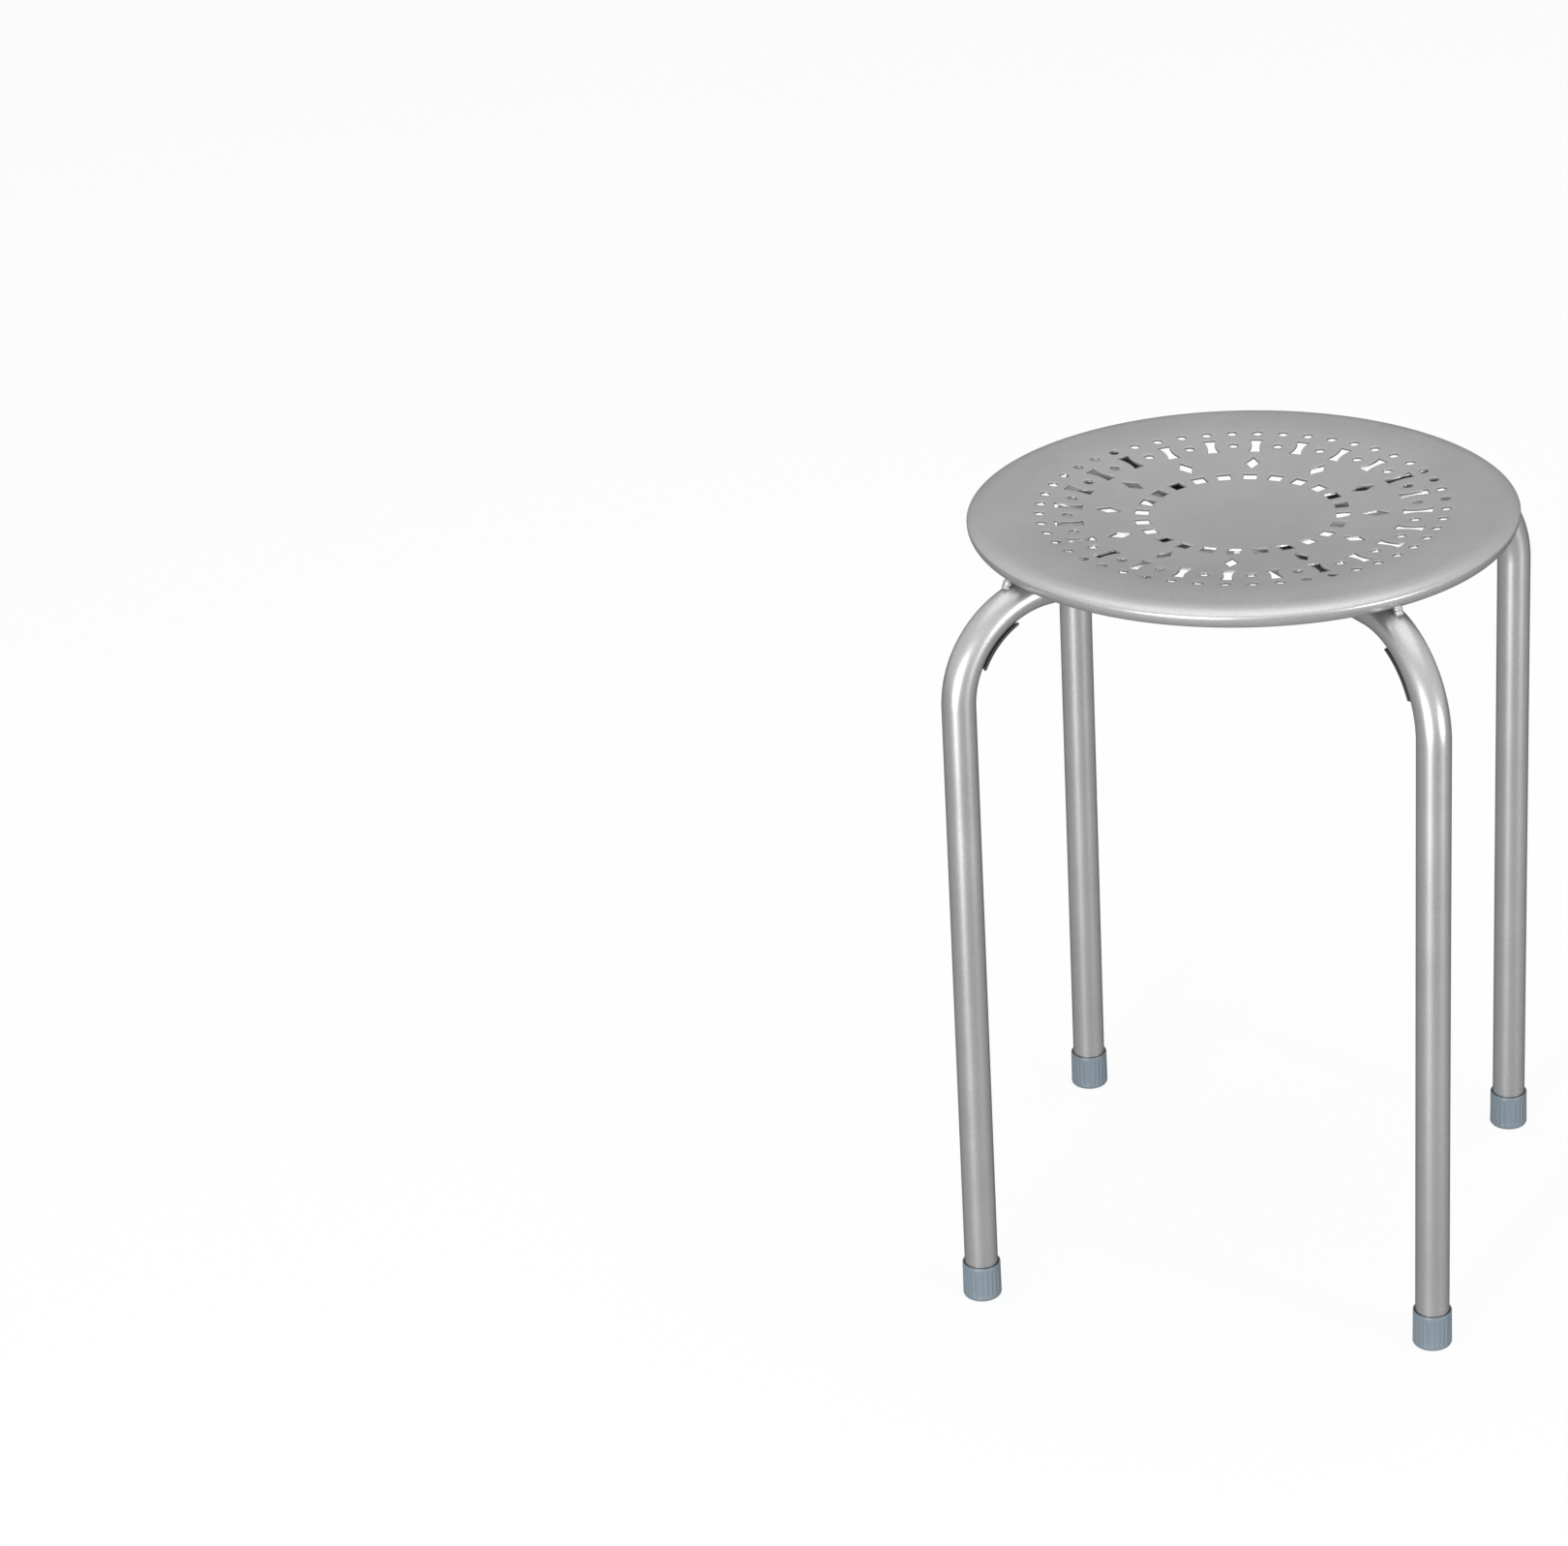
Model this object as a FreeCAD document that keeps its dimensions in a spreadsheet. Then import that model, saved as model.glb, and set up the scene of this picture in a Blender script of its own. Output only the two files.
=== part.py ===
"""Stacking stool: a punched, dished steel seat on two crossed U frames of bent tube.

Millimetres, +Z up. The origin is on the floor, under the centre of the seat. The long U frame
lies in the XZ plane, and the two half frames that are welded to it lie in the YZ plane.
"""
import FreeCAD
import Part
import Sketcher
import math
import os

# Driving sizes: name, value, what it is
DRIVING_SIZES = (
    ("seat_height", 445.0, "floor to the top of the seat rim"),
    ("seat_diameter", 305.0, "outside of the rolled rim"),
    ("sheet_thickness", 1.2, "seat sheet"),
    ("rim_roll_radius", 9.0, "outside radius of the rolled edge"),
    ("rim_depth", 10.7, "top of the rim down to its cut edge"),
    ("dish_depth", 7.0, "top of the rim down to the middle of the seat"),
    ("rim_flat_width", 8.5, "flat top of the rim, between the rolled edge and the dish"),
    ("dish_crown_width", 23.0, "outer band of the dish that is crowned, not hollow"),
    ("round_hole_diameter", 5.4, "punched round holes"),
    ("outer_ring_radius", 112.0, "outer ring of round holes"),
    ("outer_hole_count", 48, "round holes in the outer ring"),
    ("waisted_ring_radius", 96.6, "ring of waisted slots and round holes"),
    ("waisted_slot_count", 24, "waisted slots, with a round hole after each"),
    ("waisted_slot_length", 16.0, "waisted slot along the radius"),
    ("waisted_slot_end", 7.6, "waisted slot across its ends"),
    ("waisted_slot_waist", 4.4, "waisted slot across its waist"),
    ("diamond_ring_radius", 74.0, "ring of diamonds"),
    ("diamond_count", 12, "diamonds"),
    ("diamond_length", 15.0, "diamond along the radius"),
    ("diamond_width", 8.2, "diamond across the radius"),
    ("square_ring_radius", 55.6, "ring of square holes"),
    ("square_count", 24, "square holes"),
    ("square_side", 7.6, "side of a square hole"),
    ("pattern_turn", 7.5, "degrees from a leg to the nearest diamond, clockwise from above"),
    ("tube_diameter", 19.05, "outside of the frame tube"),
    ("tube_wall", 1.5, "wall of the frame tube"),
    ("leg_circle_radius", 184.0, "middle of the stool to the middle of a leg"),
    ("bend_radius", 57.0, "bend of the tube, at its centre line"),
    ("dish_gap", 1.4, "least gap from the underside of the dish to the top of the tubes"),
    ("rim_gap", 2.0, "least gap from the rim's cut edge to the top of the tubes"),
    ("cope_gap", 0.2, "end of a half frame to the side of the long tube"),
    ("cross_weld_size", 2.5, "weld round the end of a half frame"),
    ("rim_weld_width", 5.2, "weld bead between the rim and a tube, along the rim"),
    ("rim_weld_depth", 4.4, "weld bead between the rim and a tube, across the rim"),
    ("rim_weld_lap", 1.5, "how far a rim weld laps its two sides"),
    ("bumper_thickness", 2.2, "strip on the inside of a bend"),
    ("bumper_wrap", 38.0, "degrees that the strip wraps round the tube, each way"),
    ("bumper_gap", 0.5, "strip to tube"),
    ("bumper_start", 26.0, "degrees round the bend to the strip's upper end"),
    ("bumper_end", 68.0, "degrees round the bend to the strip's lower end"),
    ("stud_diameter", 4.0, "stud that holds a strip in the tube"),
    ("stud_clearance", 0.15, "stud to its hole, all round"),
    ("stud_reach", 1.5, "stud past the inside of the tube wall"),
    ("stud_inset", 8.0, "degrees from a strip's end to its stud"),
    ("cap_height", 22.0, "leg cap"),
    ("cap_wall", 1.35, "leg cap beside the tube"),
    ("cap_taper", 0.15, "how much wider the cap's radius is at the floor"),
    ("cap_floor", 4.0, "leg cap under the washer"),
    ("cap_edge_radius", 2.4, "rounded lower edge of the cap"),
    ("cap_lip_height", 2.4, "smooth band above the flutes"),
    ("cap_foot_height", 2.6, "smooth band below the flutes"),
    ("cap_mouth_gap", 0.6, "flare of the socket's mouth"),
    ("cap_mouth_depth", 1.4, "depth of the flare"),
    ("socket_gap", 0.1, "tube to the cap's socket, all round"),
    ("flute_count", 24, "flutes round a cap"),
    ("flute_radius", 1.0, "radius of a flute's section"),
    ("flute_depth", 0.35, "depth of a flute"),
    ("washer_thickness", 1.2, "washer under the tube's end"),
    ("washer_bore", 8.0, "hole in the washer"),
)

# Worked out from the driving sizes: name, formula
WORKED_OUT_SIZES = (
    ("seat_radius", "seat_diameter / 2"),
    ("dish_radius", "seat_radius - rim_roll_radius - rim_flat_width"),
    ("dish_turn_radius", "dish_radius - dish_crown_width"),
    ("tube_radius", "tube_diameter / 2"),
    ("tube_bore_radius", "tube_radius - tube_wall"),
    ("bend_reach", "leg_circle_radius - bend_radius"),
    ("bend_top_radius", "bend_radius + tube_radius"),
    ("rim_edge_height", "seat_height - rim_depth"),
    ("rim_weld_radius", "seat_radius - sheet_thickness / 2"),
    ("rim_outreach", "max(rim_weld_radius - bend_reach; 0)"),
    ("tube_rise_at_rim", "sqrt(bend_top_radius ^ 2 - rim_outreach ^ 2) - bend_radius"),
    ("axis_under_dish", "seat_height - dish_depth - sheet_thickness - dish_gap - tube_radius"),
    ("axis_under_rim", "rim_edge_height - rim_gap - tube_rise_at_rim"),
    ("frame_axis_height", "min(axis_under_dish; axis_under_rim)"),
    ("bend_height", "frame_axis_height - bend_radius"),
    ("tube_end_height", "cap_floor + washer_thickness"),
    ("tube_top_at_rim", "frame_axis_height + tube_rise_at_rim"),
    ("rim_weld_height", "(rim_edge_height + tube_top_at_rim) / 2"),
    ("rim_weld_half", "(rim_edge_height - tube_top_at_rim) / 2 + rim_weld_lap"),
    ("slot_side_rise", "(waisted_slot_end - waisted_slot_waist) / 2"),
    ("slot_side_radius", "((waisted_slot_length / 2) ^ 2 + slot_side_rise ^ 2) / (2 * slot_side_rise)"),
    ("strip_near_radius", "tube_radius + bumper_gap"),
    ("strip_far_radius", "strip_near_radius + bumper_thickness"),
    ("stud_start", "bend_radius - strip_far_radius + bumper_thickness / 2"),
    ("stud_length", "bend_radius - tube_radius + tube_wall + stud_reach - stud_start"),
    ("upper_stud_angle", "bumper_start + stud_inset"),
    ("lower_stud_angle", "bumper_end - stud_inset"),
    ("socket_radius", "tube_radius + socket_gap"),
    ("cap_top_radius", "tube_radius + cap_wall"),
    ("cap_bottom_radius", "cap_top_radius + cap_taper"),
    ("fluted_length", "cap_height - cap_lip_height - cap_foot_height"),
    ("flute_ring_radius", "cap_top_radius + flute_radius - flute_depth"),
)

LEG_TURNS = {"right": 0.0, "back": 90.0, "left": 180.0, "front": 270.0}
START, END, MIDDLE = 1, 2, 3
X_AXIS, Y_AXIS, ORIGIN = -1, -2, (-1, 1)

doc = FreeCAD.newDocument("stacking_stool")
sheet = doc.addObject("Spreadsheet::Sheet", "sizes")


def fill_sheet():
    """Write the driving sizes and the sizes worked out from them, each with its alias."""
    row = 1
    for name, number, note in DRIVING_SIZES:
        sheet.set("A%d" % row, name)
        sheet.set("B%d" % row, str(number))
        sheet.set("C%d" % row, note)
        sheet.setAlias("B%d" % row, name)
        row += 1
    for name, formula in WORKED_OUT_SIZES:
        sheet.set("A%d" % row, name)
        sheet.set("B%d" % row, "=" + formula)
        sheet.setAlias("B%d" % row, name)
        row += 1
    doc.recompute()


def size(name):
    """A size from the sheet, as a number."""
    return float(getattr(sheet, name))


def bind(item, path, formula):
    """Tie a property to the sheet; each size in the formula is written as sizes.name."""
    item.setExpression(path, formula)


def new_body(label, turn=0.0, reach=None, height=None):
    """A body turned about the stool's axis, moved out along the turned X axis and up."""
    body = doc.addObject("PartDesign::Body", label)
    body.Label = label
    body.Placement.Rotation = FreeCAD.Rotation(FreeCAD.Vector(0, 0, 1), turn)
    if reach:
        bind(body, "Placement.Base.x", "sizes.%s * cos(%g deg)" % (reach, turn))
        bind(body, "Placement.Base.y", "sizes.%s * sin(%g deg)" % (reach, turn))
    if height:
        bind(body, "Placement.Base.z", "sizes.%s" % height)
    return body


def origin_part(body, role):
    """One of a body's own origin planes or axes."""
    return [part for part in body.Origin.OriginFeatures if part.Role == role][0]


def new_sketch(body, name, plane="XY_Plane"):
    sketch = body.newObject("Sketcher::SketchObject", name)
    sketch.AttachmentSupport = [(origin_part(body, plane), "")]
    sketch.MapMode = "FlatFace"
    return sketch


def turn_sketch(sketch, axis, formula):
    """Turn a sketch in its body about an axis through the sketch's own origin."""
    sketch.AttachmentOffset = FreeCAD.Placement(FreeCAD.Vector(), FreeCAD.Rotation(axis, 1.0))
    bind(sketch, "AttachmentOffset.Rotation.Angle", formula)


def move_sketch(sketch, x=None, z=None):
    if x:
        bind(sketch, "AttachmentOffset.Base.x", x)
    if z:
        bind(sketch, "AttachmentOffset.Base.z", z)


def line(sketch, start, end):
    return sketch.addGeometry(Part.LineSegment(FreeCAD.Vector(*start, 0), FreeCAD.Vector(*end, 0)), False)


def circle(sketch, centre, radius):
    return sketch.addGeometry(Part.Circle(FreeCAD.Vector(*centre, 0), FreeCAD.Vector(0, 0, 1), radius), False)


def arc(sketch, centre, radius, start_angle, end_angle):
    """An arc that runs anticlockwise between two angles in degrees."""
    whole = Part.Circle(FreeCAD.Vector(*centre, 0), FreeCAD.Vector(0, 0, 1), radius)
    part = Part.ArcOfCircle(whole, math.radians(start_angle), math.radians(end_angle))
    return sketch.addGeometry(part, False)


def fix(sketch, kind, *where):
    sketch.addConstraint(Sketcher.Constraint(kind, *where))


def measure(sketch, kind, *where):
    """Add a dimension whose value follows the formula that comes last."""
    where, formula = where[:-1], where[-1]
    number = sketch.evalExpression(formula)
    index = sketch.addConstraint(Sketcher.Constraint(kind, *where, float(number)))
    bind(sketch, "Constraints[%d]" % index, formula)


def join(sketch, pairs):
    """Make ends meet: each pair is (piece, end, piece, end)."""
    for pair in pairs:
        fix(sketch, "Coincident", *pair)


def blend(sketch, pairs):
    """Make ends meet smoothly."""
    for pair in pairs:
        fix(sketch, "Tangent", *pair)


def revolve(body, sketch, name, angle=None):
    solid = body.newObject("PartDesign::Revolution", name)
    solid.Profile = sketch
    solid.ReferenceAxis = (sketch, ["V_Axis"])
    solid.Angle = 360.0
    if angle:
        bind(solid, "Angle", angle)
    return solid


def pocket(body, sketch, name, length=None):
    """Cut a sketch right through both ways, or for a length along the sketch's normal."""
    cut = body.newObject("PartDesign::Pocket", name)
    cut.Profile = sketch
    if length:
        cut.Type = "Length"
        cut.Reversed = True
        bind(cut, "Length", length)
    else:
        cut.Type = "ThroughAll"
        cut.SideType = "Symmetric"
    return cut


def ring_of(body, feature, name, count):
    """Repeat a feature round the body's Z axis."""
    ring = body.newObject("PartDesign::PolarPattern", name)
    ring.Originals = [feature]
    ring.Axis = (origin_part(body, "Z_Axis"), [""])
    ring.Angle = 360.0
    bind(ring, "Occurrences", "sizes.%s" % count)
    body.Tip = ring
    return ring


# The seat

def seat_section(body):
    """Half section of the seat: X is the radius and Y the height over the top of the rim."""
    sketch = new_sketch(body, "seat_section", "XZ_Plane")
    rim, roll, wall = size("seat_radius"), size("rim_roll_radius"), size("sheet_thickness")
    depth, flat_start, turn_at = size("dish_depth"), size("dish_radius"), size("dish_turn_radius")
    edge = -size("rim_depth")
    slope = 2 * math.degrees(math.atan(depth / flat_start))
    dish_radius = turn_at / math.sin(math.radians(slope))
    crown_radius = (flat_start - turn_at) / math.sin(math.radians(slope))
    dish_centre, crown_centre = (0, dish_radius - depth), (flat_start, -crown_radius)
    roll_centre = (rim - roll, -roll)
    dish = arc(sketch, dish_centre, dish_radius, 270, 270 + slope)
    crown = arc(sketch, crown_centre, crown_radius, 90, 90 + slope)
    flat = line(sketch, (flat_start, 0), (rim - roll, 0))
    rolled = arc(sketch, roll_centre, roll, 0, 90)
    skirt = line(sketch, (rim, -roll), (rim, edge))
    cut_edge = line(sketch, (rim, edge), (rim - wall, edge))
    inner_skirt = line(sketch, (rim - wall, edge), (rim - wall, -roll))
    inner_rolled = arc(sketch, roll_centre, roll - wall, 0, 90)
    inner_flat = line(sketch, (rim - roll, -wall), (flat_start, -wall))
    inner_crown = arc(sketch, crown_centre, crown_radius - wall, 90, 90 + slope)
    inner_dish = arc(sketch, dish_centre, dish_radius + wall, 270, 270 + slope)
    middle = line(sketch, (0, -depth - wall), (0, -depth))
    blend(sketch, (
        (dish, END, crown, END), (crown, START, flat, START), (flat, END, rolled, END),
        (rolled, START, skirt, START), (inner_skirt, END, inner_rolled, START),
        (inner_rolled, END, inner_flat, START), (inner_flat, END, inner_crown, START),
        (inner_crown, END, inner_dish, END),
    ))
    join(sketch, (
        (skirt, END, cut_edge, START), (cut_edge, END, inner_skirt, START),
        (inner_dish, START, middle, START), (middle, END, dish, START),
        (dish, MIDDLE, inner_dish, MIDDLE), (crown, MIDDLE, inner_crown, MIDDLE),
        (rolled, MIDDLE, inner_rolled, MIDDLE),
    ))
    fix(sketch, "PointOnObject", dish, START, Y_AXIS)
    fix(sketch, "PointOnObject", dish, MIDDLE, Y_AXIS)
    fix(sketch, "PointOnObject", inner_dish, START, Y_AXIS)
    fix(sketch, "PointOnObject", flat, START, X_AXIS)
    fix(sketch, "Horizontal", flat)
    fix(sketch, "Vertical", skirt)
    fix(sketch, "Horizontal", cut_edge)
    measure(sketch, "DistanceY", dish, START, *ORIGIN, "sizes.dish_depth")
    measure(sketch, "DistanceX", *ORIGIN, dish, END, "sizes.dish_turn_radius")
    measure(sketch, "DistanceX", *ORIGIN, flat, START, "sizes.dish_radius")
    measure(sketch, "DistanceX", *ORIGIN, skirt, START, "sizes.seat_radius")
    measure(sketch, "Radius", rolled, "sizes.rim_roll_radius")
    measure(sketch, "DistanceY", skirt, END, *ORIGIN, "sizes.rim_depth")
    measure(sketch, "DistanceX", inner_skirt, START, skirt, END, "sizes.sheet_thickness")
    return sketch


def round_hole(sketch, ring_radius):
    hole = circle(sketch, (size(ring_radius), 0), size("round_hole_diameter") / 2)
    fix(sketch, "PointOnObject", hole, MIDDLE, X_AXIS)
    measure(sketch, "DistanceX", *ORIGIN, hole, MIDDLE, "sizes.%s" % ring_radius)
    measure(sketch, "Diameter", hole, "sizes.round_hole_diameter")


def outer_round_hole(sketch):
    round_hole(sketch, "outer_ring_radius")


def inner_round_hole(sketch):
    round_hole(sketch, "waisted_ring_radius")


def waisted_slot(sketch):
    """A slot with straight ends and sides that curve in to a waist."""
    middle, half = size("waisted_ring_radius"), size("waisted_slot_length") / 2
    end, waist = size("waisted_slot_end") / 2, size("waisted_slot_waist") / 2
    radius = size("slot_side_radius")
    swing = math.degrees(math.asin(half / radius))
    near = line(sketch, (middle - half, -end), (middle - half, end))
    far = line(sketch, (middle + half, -end), (middle + half, end))
    upper = arc(sketch, (middle, waist + radius), radius, 270 - swing, 270 + swing)
    lower = arc(sketch, (middle, -waist - radius), radius, 90 - swing, 90 + swing)
    join(sketch, (
        (near, END, upper, START), (upper, END, far, END),
        (far, START, lower, START), (lower, END, near, START),
    ))
    fix(sketch, "Symmetric", near, START, near, END, X_AXIS)
    fix(sketch, "Symmetric", far, START, far, END, X_AXIS)
    measure(sketch, "DistanceX", *ORIGIN, near, START, "sizes.waisted_ring_radius - sizes.waisted_slot_length / 2")
    measure(sketch, "DistanceX", near, START, far, START, "sizes.waisted_slot_length")
    measure(sketch, "DistanceY", near, START, near, END, "sizes.waisted_slot_end")
    measure(sketch, "DistanceY", far, START, far, END, "sizes.waisted_slot_end")
    measure(sketch, "Radius", upper, "sizes.slot_side_radius")
    measure(sketch, "Radius", lower, "sizes.slot_side_radius")


def diamond(sketch):
    middle, half = size("diamond_ring_radius"), size("diamond_length") / 2
    side = size("diamond_width") / 2
    corners = ((middle - half, 0), (middle, side), (middle + half, 0), (middle, -side))
    sides = [line(sketch, corners[i], corners[(i + 1) % 4]) for i in range(4)]
    join(sketch, [(sides[i], END, sides[(i + 1) % 4], START) for i in range(4)])
    fix(sketch, "PointOnObject", sides[0], START, X_AXIS)
    fix(sketch, "PointOnObject", sides[2], START, X_AXIS)
    fix(sketch, "Symmetric", sides[1], START, sides[3], START, X_AXIS)
    measure(sketch, "DistanceX", *ORIGIN, sides[1], START, "sizes.diamond_ring_radius")
    measure(sketch, "DistanceX", sides[0], START, sides[1], START, "sizes.diamond_length / 2")
    measure(sketch, "DistanceX", sides[1], START, sides[2], START, "sizes.diamond_length / 2")
    measure(sketch, "DistanceY", sides[3], START, sides[1], START, "sizes.diamond_width")


def square(sketch):
    middle, half = size("square_ring_radius"), size("square_side") / 2
    corners = ((middle - half, -half), (middle + half, -half), (middle + half, half), (middle - half, half))
    sides = [line(sketch, corners[i], corners[(i + 1) % 4]) for i in range(4)]
    join(sketch, [(sides[i], END, sides[(i + 1) % 4], START) for i in range(4)])
    fix(sketch, "Horizontal", sides[0])
    fix(sketch, "Horizontal", sides[2])
    fix(sketch, "Vertical", sides[1])
    fix(sketch, "Symmetric", sides[3], START, sides[3], END, X_AXIS)
    measure(sketch, "DistanceX", *ORIGIN, sides[0], START, "sizes.square_ring_radius - sizes.square_side / 2")
    measure(sketch, "DistanceX", sides[0], START, sides[0], END, "sizes.square_side")
    measure(sketch, "DistanceY", sides[1], START, sides[1], END, "sizes.square_side")


def punch_ring(body, name, draw, count, turn):
    """Punch one hole beside the X axis, then repeat it round the seat."""
    sketch = new_sketch(body, name + "_sketch")
    turn_sketch(sketch, FreeCAD.Vector(0, 0, 1), turn)
    draw(sketch)
    doc.recompute()
    punch = pocket(body, sketch, name)
    doc.recompute()
    ring_of(body, punch, name + "_ring", count)
    doc.recompute()


def make_seat_pan():
    body = new_body("seat_pan", height="seat_height")
    revolve(body, seat_section(body), "pressed_seat")
    doc.recompute()
    turn = "-sizes.pattern_turn * 1 deg"
    between = "(180 / sizes.waisted_slot_count - sizes.pattern_turn) * 1 deg"
    punch_ring(body, "outer_hole", outer_round_hole, "outer_hole_count", turn)
    punch_ring(body, "inner_hole", inner_round_hole, "waisted_slot_count", between)
    punch_ring(body, "waisted_slot", waisted_slot, "waisted_slot_count", turn)
    punch_ring(body, "diamond_hole", diamond, "diamond_count", turn)
    punch_ring(body, "square_hole", square, "square_count", turn)
    return body


# The frames

def tube_ring(body):
    """Section of the tube at the lower end of the leg on the body's +X side."""
    sketch = new_sketch(body, "tube_ring")
    move_sketch(sketch, x="sizes.leg_circle_radius", z="sizes.tube_end_height")
    outside = circle(sketch, (0, 0), size("tube_radius"))
    inside = circle(sketch, (0, 0), size("tube_bore_radius"))
    for ring, radius in ((outside, "tube_radius"), (inside, "tube_bore_radius")):
        fix(sketch, "Coincident", ring, MIDDLE, *ORIGIN)
        measure(sketch, "Radius", ring, "sizes.%s" % radius)
    return sketch


def leg_and_bend(sketch, side):
    """Centre line of one leg and its bend, on the +X side for 1 and the -X side for -1."""
    leg_x, bend_x = side * size("leg_circle_radius"), side * size("bend_reach")
    foot, turn, top = size("tube_end_height"), size("bend_height"), size("frame_axis_height")
    leg = line(sketch, (leg_x, foot), (leg_x, turn))
    if side > 0:
        bend, low, high = arc(sketch, (bend_x, turn), size("bend_radius"), 0, 90), START, END
    else:
        bend, low, high = arc(sketch, (bend_x, turn), size("bend_radius"), 90, 180), END, START
    blend(sketch, ((leg, END, bend, low),))
    fix(sketch, "Vertical", leg)
    measure(sketch, "DistanceY", *ORIGIN, leg, START, "sizes.tube_end_height")
    measure(sketch, "Radius", bend, "sizes.bend_radius")
    return leg, bend, high, top


def long_frame_path(body):
    sketch = new_sketch(body, "tube_path", "XZ_Plane")
    leg, bend, high, top = leg_and_bend(sketch, 1)
    other_leg, other_bend, other_high, top = leg_and_bend(sketch, -1)
    run = line(sketch, (size("bend_reach"), top), (-size("bend_reach"), top))
    blend(sketch, ((bend, high, run, START), (run, END, other_bend, other_high)))
    fix(sketch, "Horizontal", run)
    measure(sketch, "DistanceX", *ORIGIN, leg, START, "sizes.leg_circle_radius")
    measure(sketch, "DistanceX", other_leg, START, *ORIGIN, "sizes.leg_circle_radius")
    measure(sketch, "DistanceY", *ORIGIN, run, START, "sizes.frame_axis_height")
    return sketch


def half_frame_path(body):
    sketch = new_sketch(body, "tube_path", "XZ_Plane")
    leg, bend, high, top = leg_and_bend(sketch, 1)
    run = line(sketch, (size("bend_reach"), top), (0, top))
    blend(sketch, ((bend, high, run, START),))
    fix(sketch, "Horizontal", run)
    fix(sketch, "PointOnObject", run, END, Y_AXIS)
    measure(sketch, "DistanceX", *ORIGIN, leg, START, "sizes.leg_circle_radius")
    measure(sketch, "DistanceY", *ORIGIN, run, START, "sizes.frame_axis_height")
    return sketch


def sweep_tube(body, path):
    tube = body.newObject("PartDesign::AdditivePipe", "bent_tube")
    tube.Profile = tube_ring(body)
    tube.Spine = (path, [])
    tube.Mode = "Fixed"
    tube.Mode = "Frenet"
    doc.recompute()
    return tube


def across_bend(sketch, angle, distance=None):
    """Set a sketch square to a radius of the +X bend, at an angle from its top."""
    turn_sketch(sketch, FreeCAD.Vector(0, 1, 0), "sizes.%s * 1 deg" % angle)
    x, z = "sizes.bend_reach", "sizes.bend_height"
    if distance:
        x += " + sizes.%s * sin(sizes.%s * 1 deg)" % (distance, angle)
        z += " + sizes.%s * cos(sizes.%s * 1 deg)" % (distance, angle)
    move_sketch(sketch, x=x, z=z)


def stud_hole(body, angle):
    """Drill the inner wall of the bend for a bumper stud."""
    sketch = new_sketch(body, angle + "_hole_sketch")
    across_bend(sketch, angle)
    hole = circle(sketch, (0, 0), size("stud_diameter") / 2 + size("stud_clearance"))
    fix(sketch, "Coincident", hole, MIDDLE, *ORIGIN)
    measure(sketch, "Radius", hole, "sizes.stud_diameter / 2 + sizes.stud_clearance")
    doc.recompute()
    return pocket(body, sketch, angle + "_hole", "sizes.bend_radius")


def make_long_frame():
    body = new_body("leg_frame_long")
    sweep_tube(body, long_frame_path(body))
    holes = [stud_hole(body, angle) for angle in ("upper_stud_angle", "lower_stud_angle")]
    doc.recompute()
    mirror = body.newObject("PartDesign::Mirrored", "other_bend_holes")
    mirror.Originals = holes
    mirror.MirrorPlane = (origin_part(body, "YZ_Plane"), [""])
    body.Tip = mirror
    return body


def make_half_frame(side):
    """A bent half frame whose inner end is coped to the side of the long tube."""
    body = new_body("leg_frame_half_" + side, LEG_TURNS[side])
    sweep_tube(body, half_frame_path(body))
    for angle in ("upper_stud_angle", "lower_stud_angle"):
        stud_hole(body, angle)
    sketch = new_sketch(body, "cope_sketch", "XZ_Plane")
    cope = circle(sketch, (0, size("frame_axis_height")), size("tube_radius") + size("cope_gap"))
    fix(sketch, "PointOnObject", cope, MIDDLE, Y_AXIS)
    measure(sketch, "DistanceY", *ORIGIN, cope, MIDDLE, "sizes.frame_axis_height")
    measure(sketch, "Radius", cope, "sizes.tube_radius + sizes.cope_gap")
    doc.recompute()
    pocket(body, sketch, "cope")
    return body


# The welds

def cylinder(name, radius, length, axis, height="frame_axis_height", centred=True):
    """A cylinder at a height, along X or Y; along X it starts at the stool's axis."""
    item = doc.addObject("Part::Cylinder", name)
    bind(item, "Radius", radius)
    bind(item, "Height", length)
    item.Placement.Rotation = FreeCAD.Rotation(FreeCAD.Vector(0, 0, 1), axis)
    bind(item, "Placement.Base.z", "sizes.%s" % height)
    if centred:
        bind(item, "Placement.Base.y", "-(%s) / 2" % length)
    return item


def boolean(kind, name, base, tool, turn=0.0):
    item = doc.addObject("Part::" + kind, name)
    item.Base = base
    item.Tool = tool
    item.Placement.Rotation = FreeCAD.Rotation(FreeCAD.Vector(0, 0, 1), turn)
    return item


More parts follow.
